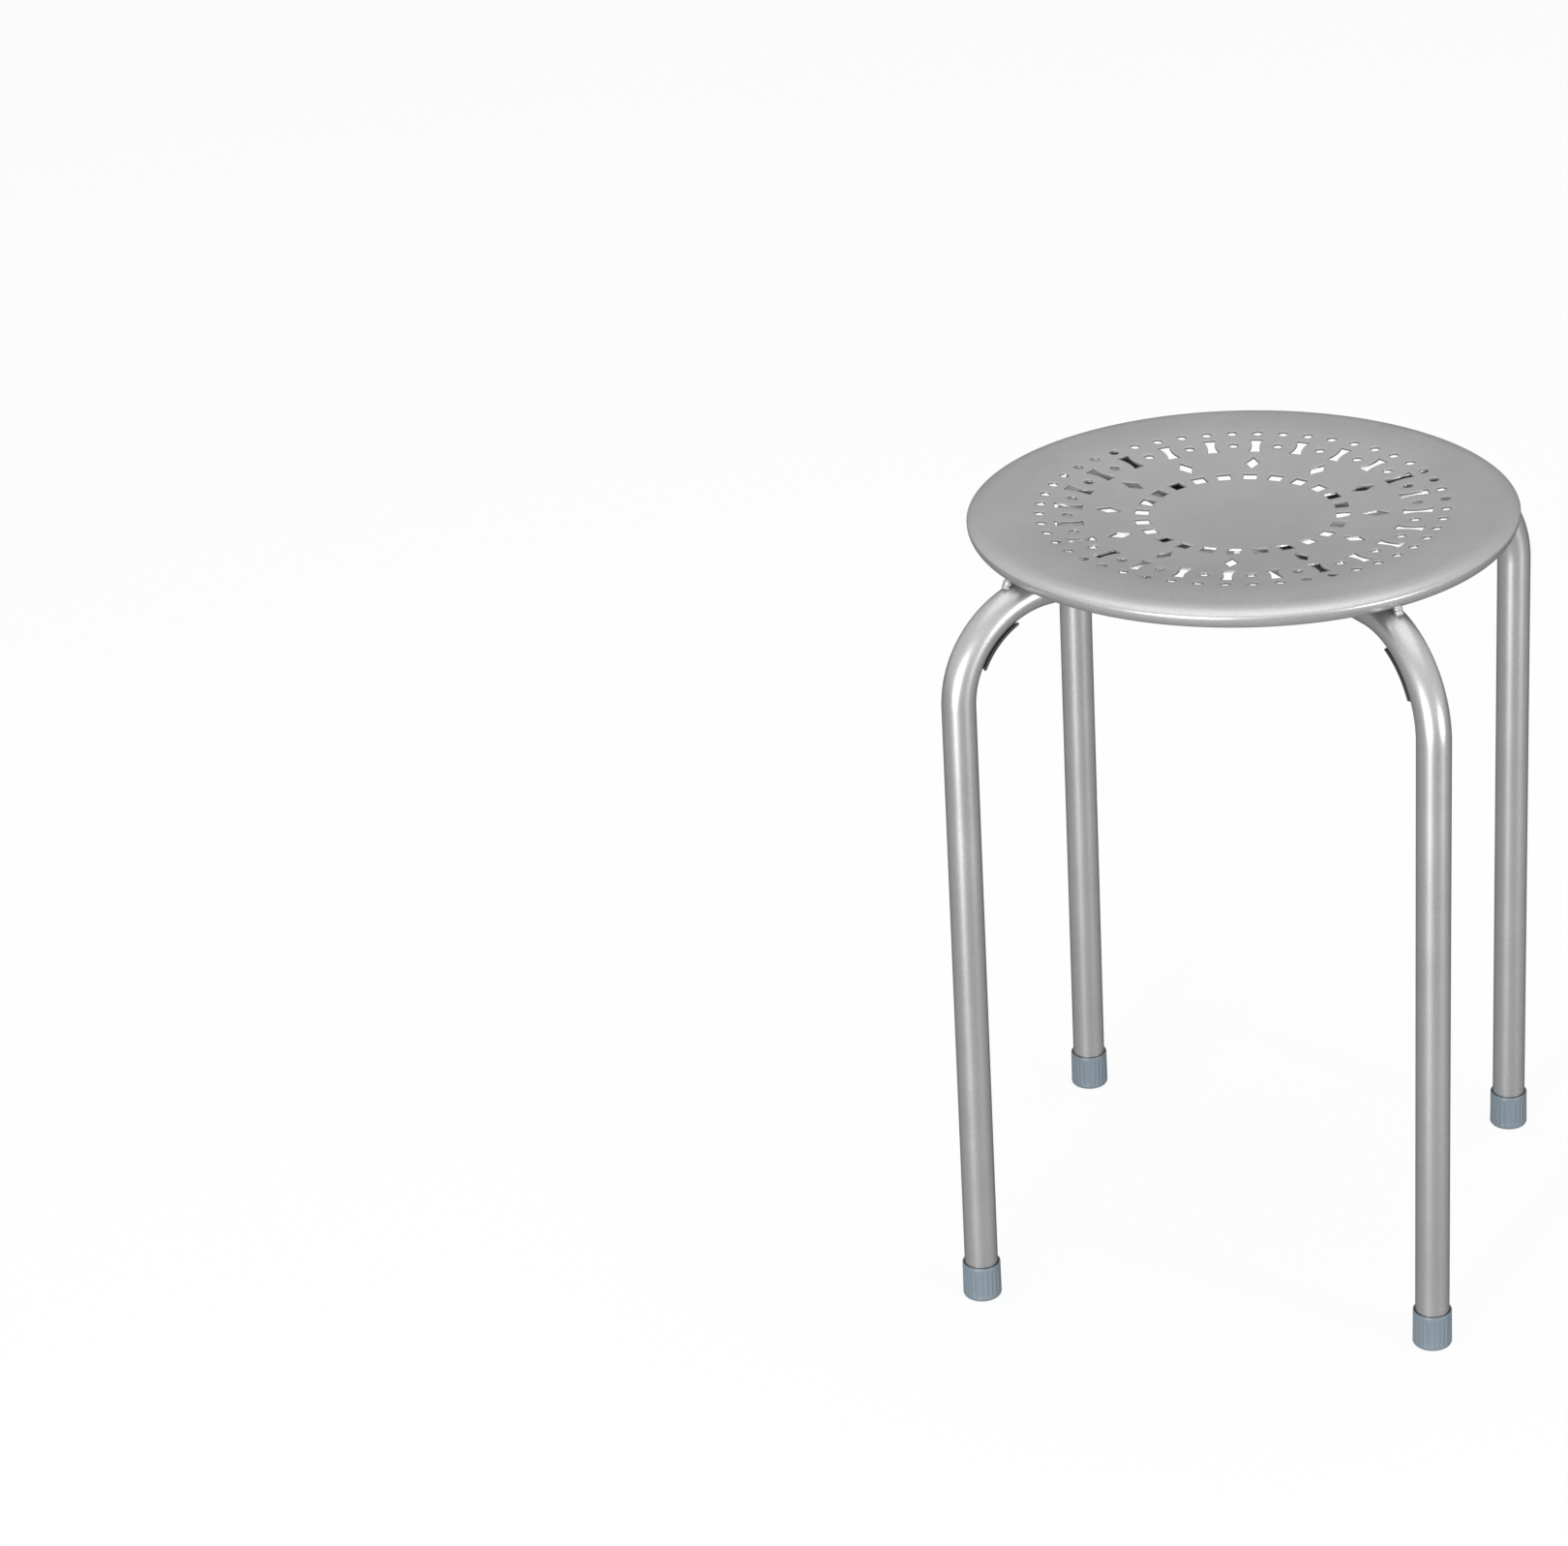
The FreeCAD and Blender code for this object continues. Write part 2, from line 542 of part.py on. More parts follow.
def make_cross_weld(side):
    """The weld round a half frame's coped end: within reach of both tubes and outside each."""
    name = "cross_weld_" + side
    along_x, along_y = FreeCAD.Vector(1, 0, 0), FreeCAD.Vector(0, 1, 0)
    fat, width = "sizes.tube_radius + sizes.cross_weld_size", "4 * sizes.tube_radius"
    reach = cylinder(name + "_reach", fat, width, along_x, centred=False)
    near = cylinder(name + "_near", fat, width, along_y)
    run = cylinder(name + "_run", "sizes.tube_radius", width, along_x, centred=False)
    long_tube = cylinder(name + "_tube", "sizes.tube_radius", width, along_y)
    top = doc.addObject("Part::Box", name + "_top")
    for edge in ("Length", "Width", "Height"):
        bind(top, edge, width)
    bind(top, "Placement.Base.x", "-" + width + " / 2")
    bind(top, "Placement.Base.y", "-" + width + " / 2")
    bind(top, "Placement.Base.z", "sizes.frame_axis_height + sizes.tube_radius - sizes.cross_weld_size / 2")
    both = boolean("Common", name + "_both", reach, near)
    outside_run = boolean("Cut", name + "_outside_run", both, run)
    outside_both = boolean("Cut", name + "_outside_both", outside_run, long_tube)
    return boolean("Cut", name, outside_both, top, LEG_TURNS[side])


def make_rim_weld(side):
    """A bead from the rim's cut edge to the top of the tube below it."""
    name = "rim_weld_" + side
    bead = doc.addObject("Part::Ellipsoid", name + "_bead")
    bind(bead, "Radius1", "sizes.rim_weld_half")
    bind(bead, "Radius2", "sizes.rim_weld_depth / 2")
    bind(bead, "Radius3", "sizes.rim_weld_width / 2")
    bind(bead, "Placement.Base.x", "sizes.rim_weld_radius")
    bind(bead, "Placement.Base.z", "sizes.rim_weld_height")
    bend = doc.addObject("Part::Torus", name + "_bend")
    bind(bend, "Radius1", "sizes.bend_radius")
    bind(bend, "Radius2", "sizes.tube_radius")
    bend.Placement.Rotation = FreeCAD.Rotation(FreeCAD.Vector(1, 0, 0), 90)
    bind(bend, "Placement.Base.x", "sizes.bend_reach")
    bind(bend, "Placement.Base.z", "sizes.bend_height")
    along_x = FreeCAD.Vector(1, 0, 0)
    run = cylinder(name + "_run", "sizes.tube_radius", "sizes.bend_reach", along_x, centred=False)
    outside = doc.addObject("Part::Cylinder", name + "_outside")
    inside = doc.addObject("Part::Cylinder", name + "_inside")
    bind(outside, "Radius", "sizes.seat_radius")
    bind(inside, "Radius", "sizes.seat_radius - sizes.sheet_thickness")
    for wall in (outside, inside):
        bind(wall, "Height", "sizes.rim_depth")
        bind(wall, "Placement.Base.z", "sizes.rim_edge_height")
    skirt = boolean("Cut", name + "_skirt", outside, inside)
    over_bend = boolean("Cut", name + "_over_bend", bead, bend)
    over_tube = boolean("Cut", name + "_over_tube", over_bend, run)
    return boolean("Cut", name, over_tube, skirt, LEG_TURNS[side])


# The bumper strips

def make_bumper(side):
    """A strip that follows the inside of a bend, held by two studs in the tube's wall."""
    body = new_body("bend_bumper_" + side, LEG_TURNS[side])
    sketch = new_sketch(body, "strip_section")
    turn_sketch(sketch, FreeCAD.Vector(0, 1, 0), "(sizes.bumper_start - 90) * 1 deg")
    move_sketch(sketch, x="sizes.bend_reach", z="sizes.bend_height")
    middle = (size("bend_radius"), 0)
    wrap = size("bumper_wrap")
    near = arc(sketch, middle, size("strip_near_radius"), 180 - wrap, 180 + wrap)
    far = arc(sketch, middle, size("strip_far_radius"), 180 - wrap, 180 + wrap)
    ends = []
    for angle in (180 - wrap, 180 + wrap):
        way = (math.cos(math.radians(angle)), math.sin(math.radians(angle)))
        points = [(middle[0] + way[0] * size(radius), way[1] * size(radius))
                  for radius in ("strip_near_radius", "strip_far_radius")]
        ends.append(line(sketch, *points))
    upper, lower = ends
    join(sketch, (
        (near, START, upper, START), (far, START, upper, END),
        (near, END, lower, START), (far, END, lower, END), (near, MIDDLE, far, MIDDLE),
    ))
    fix(sketch, "PointOnObject", near, MIDDLE, X_AXIS)
    fix(sketch, "Vertical", near, START, near, END)
    fix(sketch, "Vertical", far, START, far, END)
    measure(sketch, "DistanceX", *ORIGIN, near, MIDDLE, "sizes.bend_radius")
    measure(sketch, "Radius", near, "sizes.strip_near_radius")
    measure(sketch, "Radius", far, "sizes.strip_far_radius")
    for strip, radius in ((near, "strip_near_radius"), (far, "strip_far_radius")):
        formula = "2 * sizes.%s * sin(sizes.bumper_wrap * 1 deg)" % radius
        measure(sketch, "DistanceY", strip, END, strip, START, formula)
    doc.recompute()
    revolve(body, sketch, "strip", "(sizes.bumper_end - sizes.bumper_start) * 1 deg")
    doc.recompute()
    for angle in ("upper_stud_angle", "lower_stud_angle"):
        stud_sketch = new_sketch(body, angle + "_stud_sketch")
        across_bend(stud_sketch, angle, "stud_start")
        stud = circle(stud_sketch, (0, 0), size("stud_diameter") / 2)
        fix(stud_sketch, "Coincident", stud, MIDDLE, *ORIGIN)
        measure(stud_sketch, "Diameter", stud, "sizes.stud_diameter")
        pad = body.newObject("PartDesign::Pad", angle + "_stud")
        pad.Profile = stud_sketch
        bind(pad, "Length", "sizes.stud_length")
        doc.recompute()
    return body


# The caps and washers

def cap_section(body):
    """Half section of a leg cap: X is the radius and Y the height over the floor."""
    sketch = new_sketch(body, "cap_section", "XZ_Plane")
    bottom, top, edge = size("cap_bottom_radius"), size("cap_top_radius"), size("cap_edge_radius")
    tall, floor = size("cap_height"), size("cap_floor")
    socket, mouth = size("socket_radius"), size("socket_radius") + size("cap_mouth_gap")
    flare = tall - size("cap_mouth_depth")
    under = line(sketch, (0, 0), (bottom - edge, 0))
    rounded = arc(sketch, (bottom - edge, edge), edge, 270, 360)
    wall = line(sketch, (bottom, edge), (top, tall))
    lip = line(sketch, (top, tall), (mouth, tall))
    flared = line(sketch, (mouth, tall), (socket, flare))
    bore = line(sketch, (socket, flare), (socket, floor))
    seat = line(sketch, (socket, floor), (0, floor))
    middle = line(sketch, (0, floor), (0, 0))
    blend(sketch, ((under, END, rounded, START),))
    join(sketch, (
        (rounded, END, wall, START), (wall, END, lip, START), (lip, END, flared, START),
        (flared, END, bore, START), (bore, END, seat, START), (seat, END, middle, START),
    ))
    fix(sketch, "Coincident", under, START, *ORIGIN)
    fix(sketch, "Coincident", middle, END, *ORIGIN)
    for level in (under, lip, seat):
        fix(sketch, "Horizontal", level)
    fix(sketch, "Vertical", bore)
    fix(sketch, "Vertical", middle)
    fix(sketch, "Horizontal", rounded, MIDDLE, rounded, END)
    measure(sketch, "Radius", rounded, "sizes.cap_edge_radius")
    measure(sketch, "DistanceX", *ORIGIN, wall, START, "sizes.cap_bottom_radius")
    measure(sketch, "DistanceX", *ORIGIN, wall, END, "sizes.cap_top_radius")
    measure(sketch, "DistanceY", *ORIGIN, wall, END, "sizes.cap_height")
    measure(sketch, "DistanceX", flared, END, flared, START, "sizes.cap_mouth_gap")
    measure(sketch, "DistanceY", flared, END, flared, START, "sizes.cap_mouth_depth")
    measure(sketch, "DistanceX", *ORIGIN, bore, END, "sizes.socket_radius")
    measure(sketch, "DistanceY", *ORIGIN, bore, END, "sizes.cap_floor")
    return sketch


def make_leg_cap(side):
    """A push-on cap: a socket for the tube, fluted outside between two smooth bands."""
    body = new_body("leg_cap_" + side, LEG_TURNS[side], reach="leg_circle_radius")
    revolve(body, cap_section(body), "cup")
    doc.recompute()
    sketch = new_sketch(body, "flute_sketch")
    move_sketch(sketch, z="sizes.cap_foot_height")
    flute = circle(sketch, (size("flute_ring_radius"), 0), size("flute_radius"))
    fix(sketch, "PointOnObject", flute, MIDDLE, X_AXIS)
    measure(sketch, "DistanceX", *ORIGIN, flute, MIDDLE, "sizes.flute_ring_radius")
    measure(sketch, "Radius", flute, "sizes.flute_radius")
    doc.recompute()
    groove = pocket(body, sketch, "flute", "sizes.fluted_length")
    doc.recompute()
    ring_of(body, groove, "flutes", "flute_count")
    return body


def make_cap_washer(side):
    """The washer that the end of the tube stands on, inside the cap."""
    body = new_body("cap_washer_" + side, LEG_TURNS[side], reach="leg_circle_radius", height="cap_floor")
    sketch = new_sketch(body, "washer_section")
    outside = circle(sketch, (0, 0), size("tube_radius"))
    inside = circle(sketch, (0, 0), size("washer_bore") / 2)
    for ring, diameter in ((outside, "tube_diameter"), (inside, "washer_bore")):
        fix(sketch, "Coincident", ring, MIDDLE, *ORIGIN)
        measure(sketch, "Diameter", ring, "sizes.%s" % diameter)
    doc.recompute()
    washer = body.newObject("PartDesign::Pad", "washer")
    washer.Profile = sketch
    bind(washer, "Length", "sizes.washer_thickness")
    return body


def check_and_export(parts):
    """Stop on any failed feature or empty shape, then write one file for each sub-part."""
    doc.recompute()
    failed = [item.Name for item in doc.Objects if "Invalid" in item.State or "Error" in item.State]
    if failed:
        raise RuntimeError("these failed: " + ", ".join(failed))
    for part in parts:
        if part.Shape.isNull() or not part.Shape.isValid():
            raise RuntimeError("%s has no valid shape" % part.Label)
        if len(part.Shape.Solids) != 1:
            raise RuntimeError("%s has %d solids" % (part.Label, len(part.Shape.Solids)))
    os.makedirs("parts", exist_ok=True)
    for part in parts:
        part.Shape.exportStep("parts/%s.step" % part.Label)
        print(part.Label, "volume", round(part.Shape.Volume, 1))


fill_sheet()
stool = [make_seat_pan(), make_long_frame()]
for half_side in ("front", "back"):
    stool.append(make_half_frame(half_side))
    stool.append(make_cross_weld(half_side))
for leg_side in LEG_TURNS:
    stool.append(make_rim_weld(leg_side))
    stool.append(make_bumper(leg_side))
    stool.append(make_leg_cap(leg_side))
    stool.append(make_cap_washer(leg_side))
check_and_export(stool)
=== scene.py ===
import math

import bpy
from mathutils import Matrix, Vector


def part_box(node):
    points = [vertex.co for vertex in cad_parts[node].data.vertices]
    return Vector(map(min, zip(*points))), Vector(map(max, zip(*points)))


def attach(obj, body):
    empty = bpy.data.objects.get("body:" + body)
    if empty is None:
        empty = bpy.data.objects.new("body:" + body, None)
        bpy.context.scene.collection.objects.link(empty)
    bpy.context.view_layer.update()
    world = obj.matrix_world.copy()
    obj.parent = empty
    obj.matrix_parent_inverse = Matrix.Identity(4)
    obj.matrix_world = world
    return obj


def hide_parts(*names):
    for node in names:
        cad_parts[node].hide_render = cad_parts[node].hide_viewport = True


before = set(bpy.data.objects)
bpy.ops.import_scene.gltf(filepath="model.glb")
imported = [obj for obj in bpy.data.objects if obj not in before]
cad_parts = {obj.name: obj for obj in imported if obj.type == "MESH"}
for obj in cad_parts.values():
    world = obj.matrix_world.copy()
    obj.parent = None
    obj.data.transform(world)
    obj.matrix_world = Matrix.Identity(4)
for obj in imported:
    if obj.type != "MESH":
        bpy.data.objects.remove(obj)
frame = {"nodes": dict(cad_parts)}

bl_info = {
    "name": "Stacking Stool",
    "version": (1, 0, 0),
    "blender": (4, 5, 0),
    "location": "View3D > Sidebar > Stool",
    "description": "Finished pieces of a punched steel stacking stool, made round its engineering model",
    "category": "Object",
}

BODY = "root"
MM = 0.001
LEG_TURNS = {"right": 0.0, "back": 90.0, "left": 180.0, "front": 270.0}

# Places that the engineering model gives

SEAT_LOW, SEAT_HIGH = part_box("seat_pan")
TUBE_LOW, TUBE_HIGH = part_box("leg_frame_long")
CAP_LOW, CAP_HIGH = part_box("leg_cap_right")
SEAT_RADIUS = SEAT_HIGH.x
RIM_TOP = SEAT_HIGH.z
RIM_EDGE = SEAT_LOW.z
LEG_CIRCLE = (CAP_LOW.x + CAP_HIGH.x) / 2
TUBE_RADIUS = TUBE_HIGH.x - LEG_CIRCLE
TUBE_TOP = TUBE_HIGH.z
TUBE_END = TUBE_LOW.z
CAP_HEIGHT = CAP_HIGH.z
CAP_FOOT_RADIUS = (CAP_HIGH.x - CAP_LOW.x) / 2


# What a user would change

def length(name, description, default):
    """A size in metres that the sidebar shows as a length."""
    return bpy.props.FloatProperty(
        name=name, description=description, default=default, min=0.0, precision=5,
        subtype="DISTANCE", unit="LENGTH")


def amount(name, description, default, **limits):
    return bpy.props.FloatProperty(name=name, description=description, default=default, **limits)


def power(name, description, watts):
    return bpy.props.FloatProperty(
        name=name, description=description, default=watts, min=0.0, subtype="POWER", unit="POWER")


def turn(name, description, degrees):
    """An angle, given in degrees and kept in radians."""
    return bpy.props.FloatProperty(
        name=name, description=description, default=math.radians(degrees), subtype="ANGLE",
        unit="ROTATION")


def colour(name, description, default):
    return bpy.props.FloatVectorProperty(
        name=name, description=description, default=default, size=3, min=0.0, max=1.0,
        subtype="COLOR")


class StoolSeatSizes(bpy.types.PropertyGroup):
    """The pressed and punched seat."""
    sheet: length("Sheet", "Thickness of the seat sheet", 1.2 * MM)
    roll: length("Rim roll", "Outside radius of the rolled rim, from above", 12.0 * MM)
    curl: length("Rim curl", "Outside radius of the curl at the rim's lower edge", 8.0 * MM)
    dish_depth: length("Dish depth", "Top of the rim down to the middle of the seat", 7.0 * MM)
    dish_edge: length("Dish edge", "Radius where the dish meets the flat rim", 135.0 * MM)
    dish_turn: length("Dish turn", "Radius where the dish turns from hollow to crowned", 112.0 * MM)
    outer_ring: length("Outer ring", "Radius of the outer ring of round holes", 112.0 * MM)
    slot_ring: length("Slot ring", "Radius of the ring of waisted slots", 96.6 * MM)
    diamond_ring: length("Diamond ring", "Radius of the ring of diamonds", 74.0 * MM)
    square_ring: length("Square ring", "Radius of the ring of squares", 55.6 * MM)
    round_hole: length("Round hole", "Diameter of the round holes", 5.4 * MM)
    slot_length: length("Slot length", "Waisted slot along the radius", 16.0 * MM)
    slot_end: length("Slot end", "Waisted slot across its ends", 7.6 * MM)
    slot_waist: length("Slot waist", "Waisted slot across its waist", 4.4 * MM)
    diamond_length: length("Diamond length", "Diamond along the radius", 15.0 * MM)
    diamond_width: length("Diamond width", "Diamond across the radius", 8.2 * MM)
    square_side: length("Square side", "Side of a square hole", 7.6 * MM)
    edge_round: length("Punched edge", "How far the punch rounds a hole's upper edge", 0.25 * MM)
    pattern_turn: turn("Pattern turn", "From a leg to the nearest diamond", 7.5)


class StoolFrameSizes(bpy.types.PropertyGroup):
    """The bent tubes and their welds."""
    wall: length("Wall", "Wall of the tube", 1.5 * MM)
    bend: length("Bend radius", "Bend of the tube at its centre line", 57.0 * MM)
    cope_gap: length("Cope gap", "End of a half frame to the side of the long tube", 0.2 * MM)
    bead: length("Cross bead", "Radius of the weld bead where the tubes cross", 1.9 * MM)
    rim_bead: length("Rim bead", "Radius of the weld bead between the rim and a tube", 2.3 * MM)


class StoolBumperSizes(bpy.types.PropertyGroup):
    """The strips on the inside of the bends."""
    gap: length("Gap", "Strip to tube", 0.5 * MM)
    thickness: length("Thickness", "Strip across its middle", 1.8 * MM)
    wrap: turn("Wrap", "How far the strip wraps round the tube, each way", 38.0)
    start: turn("Start", "Round the bend to the strip's upper end", 26.0)
    end: turn("End", "Round the bend to the strip's lower end", 65.0)


class StoolCapSizes(bpy.types.PropertyGroup):
    """The push-on leg caps."""
    flutes: bpy.props.IntProperty(name="Flutes", description="Flutes round a cap", default=24, min=3)
    flute_depth: length("Flute depth", "Depth of a flute", 0.42 * MM)
    lip: length("Lip", "Smooth band above the flutes", 2.4 * MM)
    foot: length("Foot", "Smooth band below the flutes", 2.6 * MM)
    edge: length("Edge", "Rounded lower edge", 2.4 * MM)
    taper: length("Taper", "How much wider the cap is at the floor, on the radius", 0.15 * MM)
    floor: length("Floor", "Thickness under the washer", 4.0 * MM)
    socket_gap: length("Socket gap", "Tube to socket, all round", 0.1 * MM)
    mouth: length("Mouth", "Flare of the socket's mouth", 0.6 * MM)


class StoolFinishColours(bpy.types.PropertyGroup):
    """The colours of the finishes."""
    seat: colour("Seat", "Silver coat of the seat", (0.5, 0.5, 0.5))
    frame: colour("Frame", "Silver coat of the tubes", (0.46, 0.46, 0.46))
    cap: colour("Cap", "Blue-grey plastic of the leg caps", (0.19, 0.233, 0.271))
    bumper: colour("Bumper", "Black plastic of the strips", (0.03, 0.03, 0.032))
    # The underside colour is painted shade: near-black on the seat's downward faces, standing in for the
    # shadow under the seat.
    under: colour("Under the seat", "Thin dull coat on the seat's underside", (0.06, 0.06, 0.06))
    zinc: colour("Zinc", "Plated washers", (0.62, 0.63, 0.64))
    floor: colour("Floor", "Studio floor", (0.95, 0.95, 0.95))


class StoolStageSettings(bpy.types.PropertyGroup):
    """The camera and the studio light."""
    distance: length("Distance", "Camera to the stool's axis, along the floor", 2.5603)
    height: length("Height", "Camera over the floor", 1.4655)
    azimuth: turn("Azimuth", "Camera round the stool, from the +X axis", 237.37)
    heading: turn("Heading", "Turn of the view away from the stool's axis", 5.856)
    pitch: turn("Pitch", "Tilt of the view below the horizon", 24.635)
    roll: turn("Roll", "Roll of the camera", -3.281)
    focal: bpy.props.FloatProperty(
        name="Focal length", description="Focal length on a 36 mm sensor", default=113.86,
        subtype="DISTANCE_CAMERA", unit="CAMERA")
    ambient: amount("Ambient", "Strength of the even studio light", 0.3, min=0.0)
    backdrop: amount("Backdrop", "White of the backdrop that the camera and metal show", 1.0, min=0.0)
    glow: amount("Floor glow", "White that the floor shows on top of its lit part", 0.905, min=0.0)
    in_metal: amount("Floor in metal", "Share of the floor's white that metal shows", 0.4, min=0.0, max=1.0)
    key: power("Key", "Power of the key light at the front left", 76.0)
    side: power("Side", "Power of the side light at the right", 36.0)
    top: power("Top", "Power of the light overhead", 18.0)


# Materials

class Signal:
    """A socket in a material's nodes. Python's operators on it add Math nodes."""

    def __init__(self, nodes, socket):
        self.nodes = nodes
        self.socket = socket

    def math(self, operation, first, second):
        return self.nodes.node("ShaderNodeMath", {"operation": operation}, {0: first, 1: second})

    def __add__(self, other):
        return self.math("ADD", self, other)

    def __radd__(self, other):
        return self.math("ADD", other, self)

    def __mul__(self, other):
        return self.math("MULTIPLY", self, other)

    def __rmul__(self, other):
        return self.math("MULTIPLY", other, self)


class ShaderNodes:
    """The nodes of a material or a world, cleared for a new start."""

    def __init__(self, owner):
        owner.use_nodes = True
        self.tree = owner.node_tree
        self.tree.nodes.clear()

    def node(self, kind, settings=None, inputs=None, output=0):
        """Add a node: its settings first, then a value or a link for each socket."""
        made = self.tree.nodes.new(kind)
        for name, value in (settings or {}).items():
            setattr(made, name, value)
        for name, value in (inputs or {}).items():
            if isinstance(value, Signal):
                self.tree.links.new(value.socket, made.inputs[name])
            else:
                made.inputs[name].default_value = value
        return Signal(self, made.outputs[output])

    def seen(self, in_metal=1.0):
        """1 for the camera's rays and those through glass, and a share of 1 for rays off metal."""
        def ray(kind):
            return self.node("ShaderNodeLightPath", output="Is %s Ray" % kind)
        shown = ray("Camera") + ray("Transmission") + ray("Glossy") * in_metal
        return self.node("ShaderNodeMath", {"operation": "MINIMUM"}, {0: shown, 1: 1.0})

    def close(self, kind, shader):
        """Join a shader to the output node."""
        output = self.tree.nodes.new(kind)
        self.tree.links.new(shader.socket, output.inputs["Surface"])


class Finish(ShaderNodes):
    """One material and its nodes."""

    def __init__(self, name):
        self.material = bpy.data.materials.new(name)
        super().__init__(self.material)
        self.place = self.node("ShaderNodeTexCoord", output="Object")

    def noise(self, grain, detail=2.0):
        """Noise from 0 to 1 whose features are about a given length across."""
        place = self.node("ShaderNodeMapping", inputs={"Vector": self.place, "Scale": [1.0 / grain] * 3})
        return self.node("ShaderNodeTexNoise", inputs={"Vector": place, "Scale": 1.0, "Detail": detail})

    def blend(self, factor, first, second):
        """Mix two colours."""
        mixed = {0: factor, 6: (*first, 1.0), 7: (*second, 1.0)}
        return self.node("ShaderNodeMix", {"data_type": "RGBA"}, mixed, output=2)

    def bump(self, height, depth, strength=1.0):
        return self.node("ShaderNodeBump", inputs={
            "Height": height, "Distance": depth, "Strength": strength})

    def surface(self, **sockets):
        """Finish with a Principled surface; the words are its socket names with underscores."""
        inputs = {name.replace("_", " "): value for name, value in sockets.items()}
        self.close("ShaderNodeOutputMaterial", self.node("ShaderNodeBsdfPrincipled", inputs=inputs))
        return self.material


def shade(tone, factor):
    """A colour made lighter or darker."""
    return tuple(min(1.0, part * factor) for part in tone)


def silver_coat(name, tone, roughness, metallic):
    """Silver powder coat: fine flake, soft orange peel and slow changes of gloss."""
    finish = Finish(name)
    flake = finish.noise(1.1 * MM, detail=5.0)
    peel = finish.noise(1.6 * MM)
    cloud = finish.noise(38 * MM, detail=3.0)
    mixture = flake * 0.75 + cloud * 0.25
    base = finish.blend(mixture, shade(tone, 0.78), shade(tone, 1.22))
    return finish.surface(
        Base_Color=base, Metallic=metallic, Roughness=roughness - 0.04 + cloud * 0.08,
        Specular_IOR_Level=0.3, Specular_Tint=(0.2, 0.2, 0.2, 1.0),
        Normal=finish.bump(peel + flake * 0.35, 0.02 * MM, 0.5))


def underside_shade_coat(name, tone):
    """A near-black coat on the seat's downward faces: painted shade for the shadow under the seat, with a
    fine grain and a cloudy tone.
    """
    finish = Finish(name)
    dust = finish.noise(0.8 * MM, detail=3.0)
    cloud = finish.noise(26 * MM, detail=3.0)
    return finish.surface(
        Base_Color=finish.blend(dust * 0.4 + cloud * 0.6, shade(tone, 0.7), shade(tone, 1.3)),
        Metallic=0.2, Roughness=0.55 + cloud * 0.15, Normal=finish.bump(dust, 0.03 * MM, 0.5))


def weld_coat(name, tone):
    """The same coat over a weld: rough ripples and darker hollows."""
    finish = Finish(name)
    ripple = finish.noise(1.1 * MM, detail=4.0)
    soot = finish.noise(3.0 * MM, detail=3.0)
    base = finish.blend(soot, shade(tone, 0.72), shade(tone, 1.1))
    return finish.surface(
        Base_Color=base, Metallic=0.6, Roughness=0.28 + soot * 0.2,
        Normal=finish.bump(ripple, 0.25 * MM, 0.6))


def moulded_plastic(name, tone, roughness, speck):
    """Moulded plastic with a fine grain and a slightly uneven tone."""
    finish = Finish(name)
    grain = finish.noise(0.5 * MM, detail=3.0)
    cloud = finish.noise(9 * MM, detail=2.0)
    base = finish.blend(cloud * 0.7 + grain * 0.3, shade(tone, 1 - speck), shade(tone, 1 + speck))
    return finish.surface(
        Base_Color=base, Roughness=roughness - 0.05 + cloud * 0.1,
        Normal=finish.bump(grain, 0.03 * MM, 0.5))


def zinc_plate(name, tone):
    """Plated steel with a fine grain and cloudy gloss."""
    finish = Finish(name)
    cloud = finish.noise(2.5 * MM, detail=3.0)
    grain = finish.noise(0.3 * MM, detail=1.0)
    return finish.surface(
        Base_Color=finish.blend(cloud, shade(tone, 0.85), shade(tone, 1.1)), Metallic=1.0,
        Roughness=0.3 + cloud * 0.15, Normal=finish.bump(grain, 0.01 * MM, 0.4))


# Meshes

def new_piece(name, points, faces, material, edges=()):
    """A mesh object at the origin."""
    mesh = bpy.data.meshes.new(name)
    mesh.from_pydata(points, edges, faces)
    mesh.validate()
    mesh.materials.append(material)
    made = bpy.data.objects.new(name, mesh)
    bpy.context.scene.collection.objects.link(made)
    return made


def grid_faces(rows, columns, closed_rows=False, closed_columns=False):
    """Quads over a grid of points that is stored row by row."""
    faces = []
    for row in range(rows if closed_rows else rows - 1):
        for column in range(columns if closed_columns else columns - 1):
            below, beside = (row + 1) % rows, (column + 1) % columns
            faces.append((
                row * columns + column, row * columns + beside,
                below * columns + beside, below * columns + column))
    return faces


def flatten_modifiers(piece):
    """Turn a piece with modifiers into a plain mesh."""
    scene_graph = bpy.context.evaluated_depsgraph_get()
    plain = bpy.data.meshes.new_from_object(piece.evaluated_get(scene_graph))
    piece.modifiers.clear()
    old = piece.data
    piece.data = plain
    bpy.data.meshes.remove(old)
    return piece


def settle(piece, sharp_over, slot, *nodes):
    """Shade a finished piece smooth up to an angle in degrees, and put it in its nodes' place."""
    piece.data.shade_smooth()
    piece.data.set_sharp_from_angle(angle=math.radians(sharp_over))
    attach(piece, BODY)
    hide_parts(*nodes)


def leg_matrix(side):
    """From the +X leg's place to another leg's."""
    return Matrix.Rotation(math.radians(LEG_TURNS[side]), 4, "Z")


# Geometry node trees

MERGE_DISTANCE = 0.002 * MM
DROP_SMALLEST, DROP_LARGEST = 0.85, 1.15
DROP_FLATNESS = 0.62


